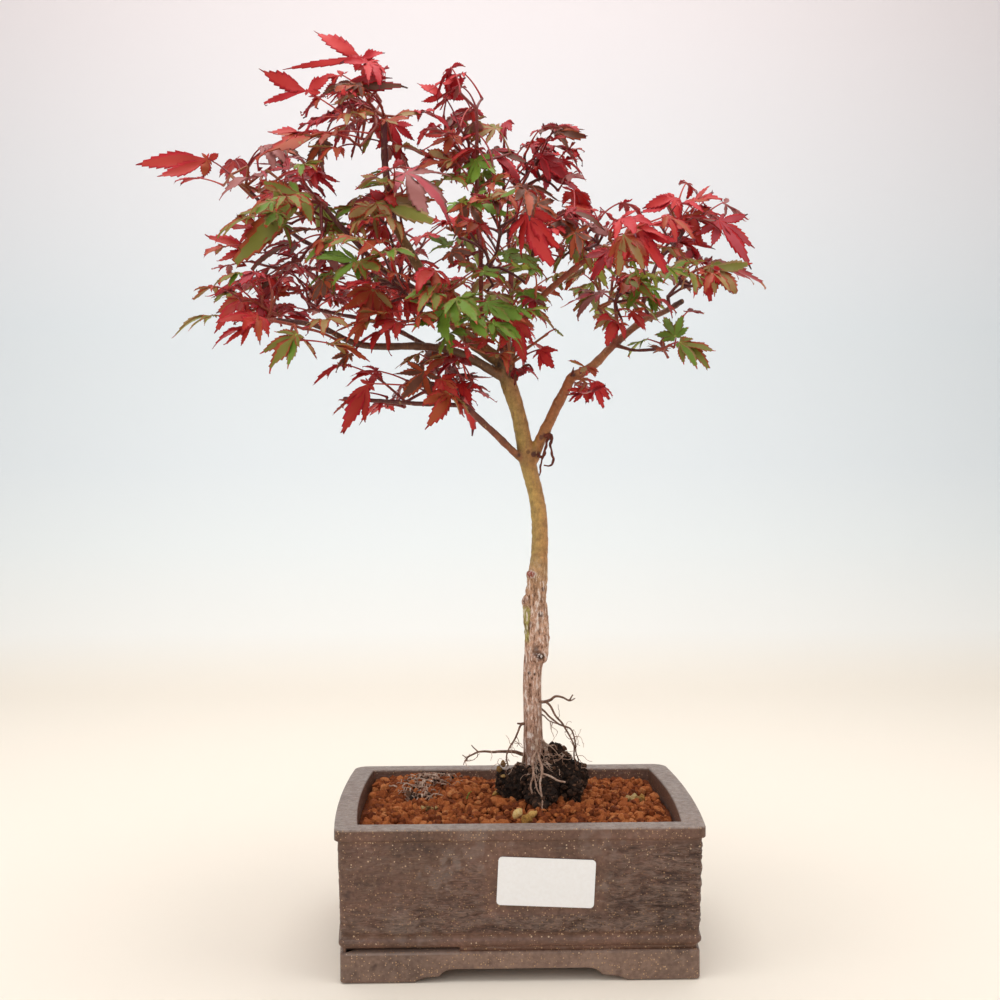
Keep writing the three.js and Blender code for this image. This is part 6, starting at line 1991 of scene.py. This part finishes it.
def lobe_rim(lobes, hand, part, tooth, steps):
    """Beyond the notch: how far the rim lies from the midrib, and how far its teeth point."""
    shape = WIDEST * part * (1 - part) ** 1.5
    out = lobes.lateral[hand] * (1 - part) ** 6 + lobes.width * shape + 0.12 * (1 - part)
    out = out * (TOOTH if tooth else 1 - BITE * min(1, 5 * (1 - part)))
    return out, (lobes.length / steps) * (0.75 if tooth else -0.1) * (part < 0.97)


def leaf_points(leaves, pattern, draw):
    """The points of all the leaves' upper and lower sides, in pot millimetres."""
    lobes = Lobes(leaves, draw)
    stations, notch_station = pattern.stations, pattern.notch_station
    steps = stations - notch_station
    grid = np.zeros((len(leaves), LOBES, stations + 1, len(ACROSS), 2, 3))
    rib = np.zeros((len(leaves), LOBES, 3))
    for station in range(stations + 1):
        part = max(0.0, (station - notch_station) / steps)
        share = station / notch_station
        heading = lobes.angle + lobes.sway * part
        pitch = lobes.rise * min(1, 3 * part) + lobes.arch * part ** 1.5
        pitch = pitch + lobes.curl * max(0.0, (part - 0.78) / 0.22) ** 2
        ahead = np.cos(pitch)
        tangent = np.stack([ahead * np.cos(heading), ahead * np.sin(heading), np.sin(pitch)], -1)
        side = np.stack([-np.sin(heading), np.cos(heading), np.zeros_like(heading)], -1)
        normal = np.cross(tangent, side)
        turn = (lobes.twist * part)[..., None]
        twisted = side * np.cos(turn) + normal * np.sin(turn)
        normal = normal * np.cos(turn) - side * np.sin(turn)
        side = twisted
        if share <= 1:
            rib = tangent * (lobes.reached * share)[..., None]
        else:
            rib = rib + tangent * ((lobes.length - lobes.reached) / steps)[..., None]
        for hand, sign in ((0, -1), (1, 1)):
            if share <= 1:
                out = lobes.lateral[hand] * share
                edge = rib + side * (sign * out)[..., None]
                inner = slice(1, LOBES) if hand == 0 else slice(0, LOBES - 1)
                edge[:, inner, 0] = lobes.notch * share * np.cos(lobes.middle)
                edge[:, inner, 1] = lobes.notch * share * np.sin(lobes.middle)
            else:
                out, forward = lobe_rim(lobes, hand, part, (station - notch_station) % 2, steps)
                edge = rib + side * (sign * out)[..., None] + tangent * forward[..., None]
            lift = out * (lobes.fold + lobes.wave[..., hand] * np.sin(9 * part + lobes.phase[..., hand]))
            edge = edge + normal * lift[..., None]
            near = rib + (edge - rib) * abs(ACROSS[1]) - normal * (0.12 * out)[..., None]
            grid[:, :, station, 4 * hand] = edge[..., None, :]
            grid[:, :, station, 1 + 2 * hand] = near[..., None, :]
        grid[:, :, station, 2] = rib[..., None, :]
        skin = (normal * HALF_THICK)[:, :, None, :]
        grid[:, :, station, :, 0] += skin
        grid[:, :, station, :, 1] -= skin
    numbers = pattern.numbers.ravel()
    joined = np.zeros((len(leaves), pattern.points, 3))
    np.add.at(joined, (slice(None), numbers), grid.reshape(len(leaves), -1, 3))
    joined /= np.bincount(numbers, minlength=pattern.points)[None, :, None]
    far = joined[..., 0] ** 2 + joined[..., 1] ** 2
    frames = np.array([leaf_frame(leaf) for leaf in leaves])
    hubs = np.array([leaf.hub for leaf in leaves])
    points = hubs[:, None] + np.einsum("npk,nkj->npj", joined, frames)
    droop = draw.uniform(0, 1, (len(leaves), 1)) * np.where(lobes.shown, 0.5, 1.1)
    droop = (droop + np.where(lobes.shown, 0.1, 0.3)) * lobes.free
    points[..., 2] -= droop * DROOP * far / lobes.size
    return points


print("a leaf is", 2 * HALF_THICK, "mm thick")

# %% [markdown]
# Autumn tints are plain colours, dealt by spray: a leaf that shows has its own tint, and
# the leaves near it take that or one next to it. A tint names the colours of a leaf's
# middle, edge, tip, hub and underside, and some lobes have turned further than the rest.
# A leaf's skin is a thin waxy one over soft tissue, so it has a broad dull shine.

# %% Leaf tints
LEAF_COLOURS = {
    "crimson": "#bd2129", "deep": "#94191f", "scarlet": "#c83330", "rose": "#b8474f", "mauve": "#a0605a",
    "rust": "#a84a28", "tan": "#9b7b48", "brown": "#6f4433", "olive": "#7c7930", "green": "#6c872b",
    "lime": "#9aa346", "plum": "#66202a", "peach": "#c88a6c", "char": "#4f2620", "ember": "#b43428",
}
# Each tint's six colours, and the six of its lobes that have turned further.
LEAF_TINTS = {
    "crimson": (("scarlet", "crimson", "deep", "crimson", "scarlet", "rose"),
                ("crimson", "crimson", "plum", "deep", "scarlet", "scarlet")),
    "deep": (("deep", "crimson", "plum", "deep", "mauve", "rose"),
             ("brown", "deep", "char", "deep", "mauve", "deep")),
    "red": (("ember", "crimson", "deep", "rust", "rose", "crimson"),
            ("rust", "ember", "plum", "ember", "scarlet", "rose")),
    "pink": (("rose", "scarlet", "deep", "rose", "rose", "rose"),
             ("rose", "crimson", "char", "scarlet", "rose", "mauve")),
    "mauve": (("mauve", "mauve", "deep", "rose", "rose", "mauve"),
              ("rose", "mauve", "peach", "mauve", "rose", "rose")),
    "orange": (("rust", "ember", "deep", "tan", "tan", "rust"),
               ("tan", "rust", "plum", "olive", "rust", "tan")),
    "brown": (("brown", "rust", "plum", "brown", "mauve", "brown"),
              ("rust", "brown", "char", "tan", "mauve", "tan")),
    "tan": (("tan", "rust", "rust", "olive", "lime", "tan"),
            ("olive", "tan", "ember", "lime", "tan", "mauve")),
    "olive": (("olive", "rust", "ember", "lime", "lime", "olive"),
              ("green", "tan", "rust", "olive", "lime", "tan")),
    "green": (("green", "olive", "rust", "lime", "lime", "green"),
              ("green", "green", "rust", "green", "lime", "olive")),
}
TURNED_SHARE = 0.32
# Tints that stand next to each other on one spray.
NEIGHBOURS = {
    "crimson": ("red", "deep", "crimson"), "red": ("orange", "crimson", "deep"),
    "deep": ("crimson", "red", "brown"), "orange": ("red", "orange", "olive"),
    "olive": ("tan", "orange", "olive"), "green": ("olive", "orange", "green"),
    "tan": ("olive", "orange", "red"), "mauve": ("pink", "red", "mauve"),
    "pink": ("mauve", "crimson", "red"), "brown": ("orange", "deep", "red"),
}
tint_names = list(LEAF_TINTS)
colour_names = list(LEAF_COLOURS)
leaf_skins = [new_material(f"maple_leaf_{name}", colour, 0.5, Specular_IOR_Level=0.28)[0]
              for name, colour in LEAF_COLOURS.items()]
tint_table = np.array([[[colour_names.index(name) for name in row] for row in rows]
                       for rows in LEAF_TINTS.values()])


def leaf_faces(faces, points, turned, tints):
    """The face array of all leaves for one kind of face, with a finish for each."""
    corners, lobes, zones = (np.array(part) for part in zip(*faces))
    step = np.arange(len(tints))[:, None, None] * points
    finish = tint_table[tints[:, None], turned[:, lobes], zones[None]]
    return (corners[None] + step).reshape(-1, corners.shape[1]), finish.ravel()


def make_leaves(name, leaves, seed):
    """One mesh of many leaves: the large ones are finer than the small ones."""
    draw = np.random.default_rng(seed)
    made = Gathered()
    large = [leaf for leaf in leaves if leaf.length >= FINE_LENGTH]
    small = [leaf for leaf in leaves if leaf.length < FINE_LENGTH]
    for some, pattern in zip((large, small), LEAF_PATTERNS):
        points = leaf_points(some, pattern, draw)
        turned = (draw.random((len(some), LOBES)) < TURNED_SHARE).astype(int)
        tints = np.array([tint_names.index(leaf.tint) for leaf in some])
        blocks = [leaf_faces(pattern.faces[size], pattern.points, turned, tints) for size in (3, 4)]
        faces, finishes = zip(*blocks)
        made.add(points, faces, None, finishes)
    print(name, "leaves", len(leaves))
    return piece(name, made, leaf_skins)


# %% Open the leaves and hang them
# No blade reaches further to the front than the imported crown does, so y stays above this.
FRONT_LIMIT = -87.0
# The most leaves of one mesh. A mass is never split between two.
LEAF_LIMIT = 104
NEIGHBOUR_SHARE = 0.65

draw = np.random.default_rng(81)
for leaf in [leaf for mass in masses for leaf in mass.leaves]:
    leaf.open *= draw.uniform(0.55, 0.95) if leaf.shown else draw.uniform(0.25, 0.8)
    if leaf.lobes:
        leaf.open = FACING
    if not leaf.shown and draw.random() < NEIGHBOUR_SHARE:
        leaf.tint = NEIGHBOURS[leaf.tint][int(draw.integers(0, 3))]
    front = min(blade_point(leaf, leaf.length * far, degrees)[1] for far, degrees in SPREAD)
    leaf.hub[1] += max(0.0, FRONT_LIMIT - front)

bunches = [[]]
for mass in masses:
    if sum(len(other.leaves) for other in bunches[-1]) + len(mass.leaves) > LEAF_LIMIT:
        bunches.append([])
    bunches[-1].append(mass)
for k, bunch in enumerate(bunches, 1):
    made = make_leaves(f"leaves_{k}", [leaf for mass in bunch for leaf in mass.leaves], 90 + k)
    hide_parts(*[mass.name for mass in bunch])
    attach(made, "root")

# %% [markdown]
# Leaf stalks are long and thin, red or, on greener leaves, tan, and a little thicker where
# they leave the twig. The twigs are this year's shoots, dark red to brown, each with its
# own tone, and swollen at both of its joints.

# %% Bark of twigs and stalks
STALK_TONES = ["#7c1d22", "#a62a2c", "#bc3e36", "#bd5e44", "#9a6e40"]
TWIG_TONES = ["#5a2220", "#7c2c28", "#923c2c", "#9a5230", "#9c7040"]
TONE_STEPS = 4


def thin_bark(name, tones):
    """Smooth young bark with a soft shine: each shoot's tone, with streaks and small pores."""
    made, tree, surface = new_material(name, tones[1], 0.45, IOR=1.45)
    place = add_node(tree, "TexCoord", out="Object")
    tone = add_node(tree, "Attribute", out="Fac", attribute_name="tone")
    streaks = add_node(tree, "TexNoise", {
        "Vector": place, "Scale": per_metre(3.5), "Detail": 5, "Roughness": 0.7})
    share = add_node(tree, "Math", {0: streaks, 1: 0.9, 2: tone}, operation="MULTIPLY_ADD")
    share = add_node(tree, "MapRange", {"Value": share, "From Min": 0.45, "From Max": 1.45})
    pores = add_node(tree, "TexVoronoi", {"Vector": place, "Scale": per_metre(1.4)})
    pore = add_node(tree, "MapRange", {
        "Value": pores, "From Min": 0.12, "From Max": 0.22, "To Min": 0.5, "To Max": 0.0})
    skin = add_node(tree, "ValToRGB", {"Fac": share}, stops=even_stops(tones))
    set_inputs(surface, {
        "Base Color": coats(tree, skin, [("#c79a78", pore)]),
        "Normal": add_node(tree, "Bump", {"Height": pores, "Strength": 0.4, "Distance": 0.2 * MM})})
    return made


print("tones of stalks", len(STALK_TONES), "and of twigs", len(TWIG_TONES))

# %% Twigs and stalks
TWIG_RADIUS = 0.62
TWIG_PER_LEAF = 0.13
CURVE_STEPS = 8
GREEN_TINTS = ("green", "olive", "tan")


def bowed(start, end, bow):
    """A soft curve between two points, bowed out by a vector at its middle."""
    return np.concatenate([start[None], bend(start, (start + end) / 2 + bow, end, CURVE_STEPS)])


def fading(rate):
    """1 at the first point of a curve, and less and less along it."""
    return np.exp(-np.linspace(0, rate, CURVE_STEPS + 1))


def twig_radius(joint):
    return TWIG_RADIUS + TWIG_PER_LEAF * math.sqrt(joint.load)


draw = np.random.default_rng(82)
stalks = Gathered()
twigs = Gathered()
for mass in masses:
    tone = int(draw.integers(0, TONE_STEPS)) / TONE_STEPS
    foot = np.linspace(mass.start, mass.foot, 4)
    twigs.add(*tube(foot, [twig_radius(mass.joints[0])] * 4, 8), tone)
    for joint in mass.joints[1:]:
        start = joint.parent.at
        length = np.linalg.norm(joint.at - start)
        bow = draw.normal(0, 0.06, 3) * length + UP * 0.05 * length
        radii = twig_radius(joint) * np.linspace(1.0, 0.86, CURVE_STEPS + 1)
        radii = radii * (1 + 0.3 * fading(9) + 0.35 * fading(12.6)[::-1])
        twigs.add(*tube(bowed(start, joint.at, bow), radii, 8), tone)
    for leaf in mass.leaves:
        along = leaf_frame(leaf)[0]
        base = leaf.hub - along * 0.4
        length = np.linalg.norm(base - leaf.root)
        bow = draw.normal(0, 0.05, 3) * length + UP * 0.08 * length - along * 0.06 * length
        radii = np.linspace(0.52, 0.38, CURVE_STEPS + 1) + 0.35 * fading(14)
        tone_of_stalk = int(draw.choice([1, 3, 4] if leaf.tint in GREEN_TINTS else [0, 1, 2])) / TONE_STEPS
        stalks.add(*tube(bowed(leaf.root, base, bow), radii, 7), tone_of_stalk)
made = piece("leaf_stalks", stalks, [thin_bark("leaf_stalk", STALK_TONES)])
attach(made, "root")
made = piece("twigs", twigs, [thin_bark("young_twig", TWIG_TONES)])
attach(made, "root")
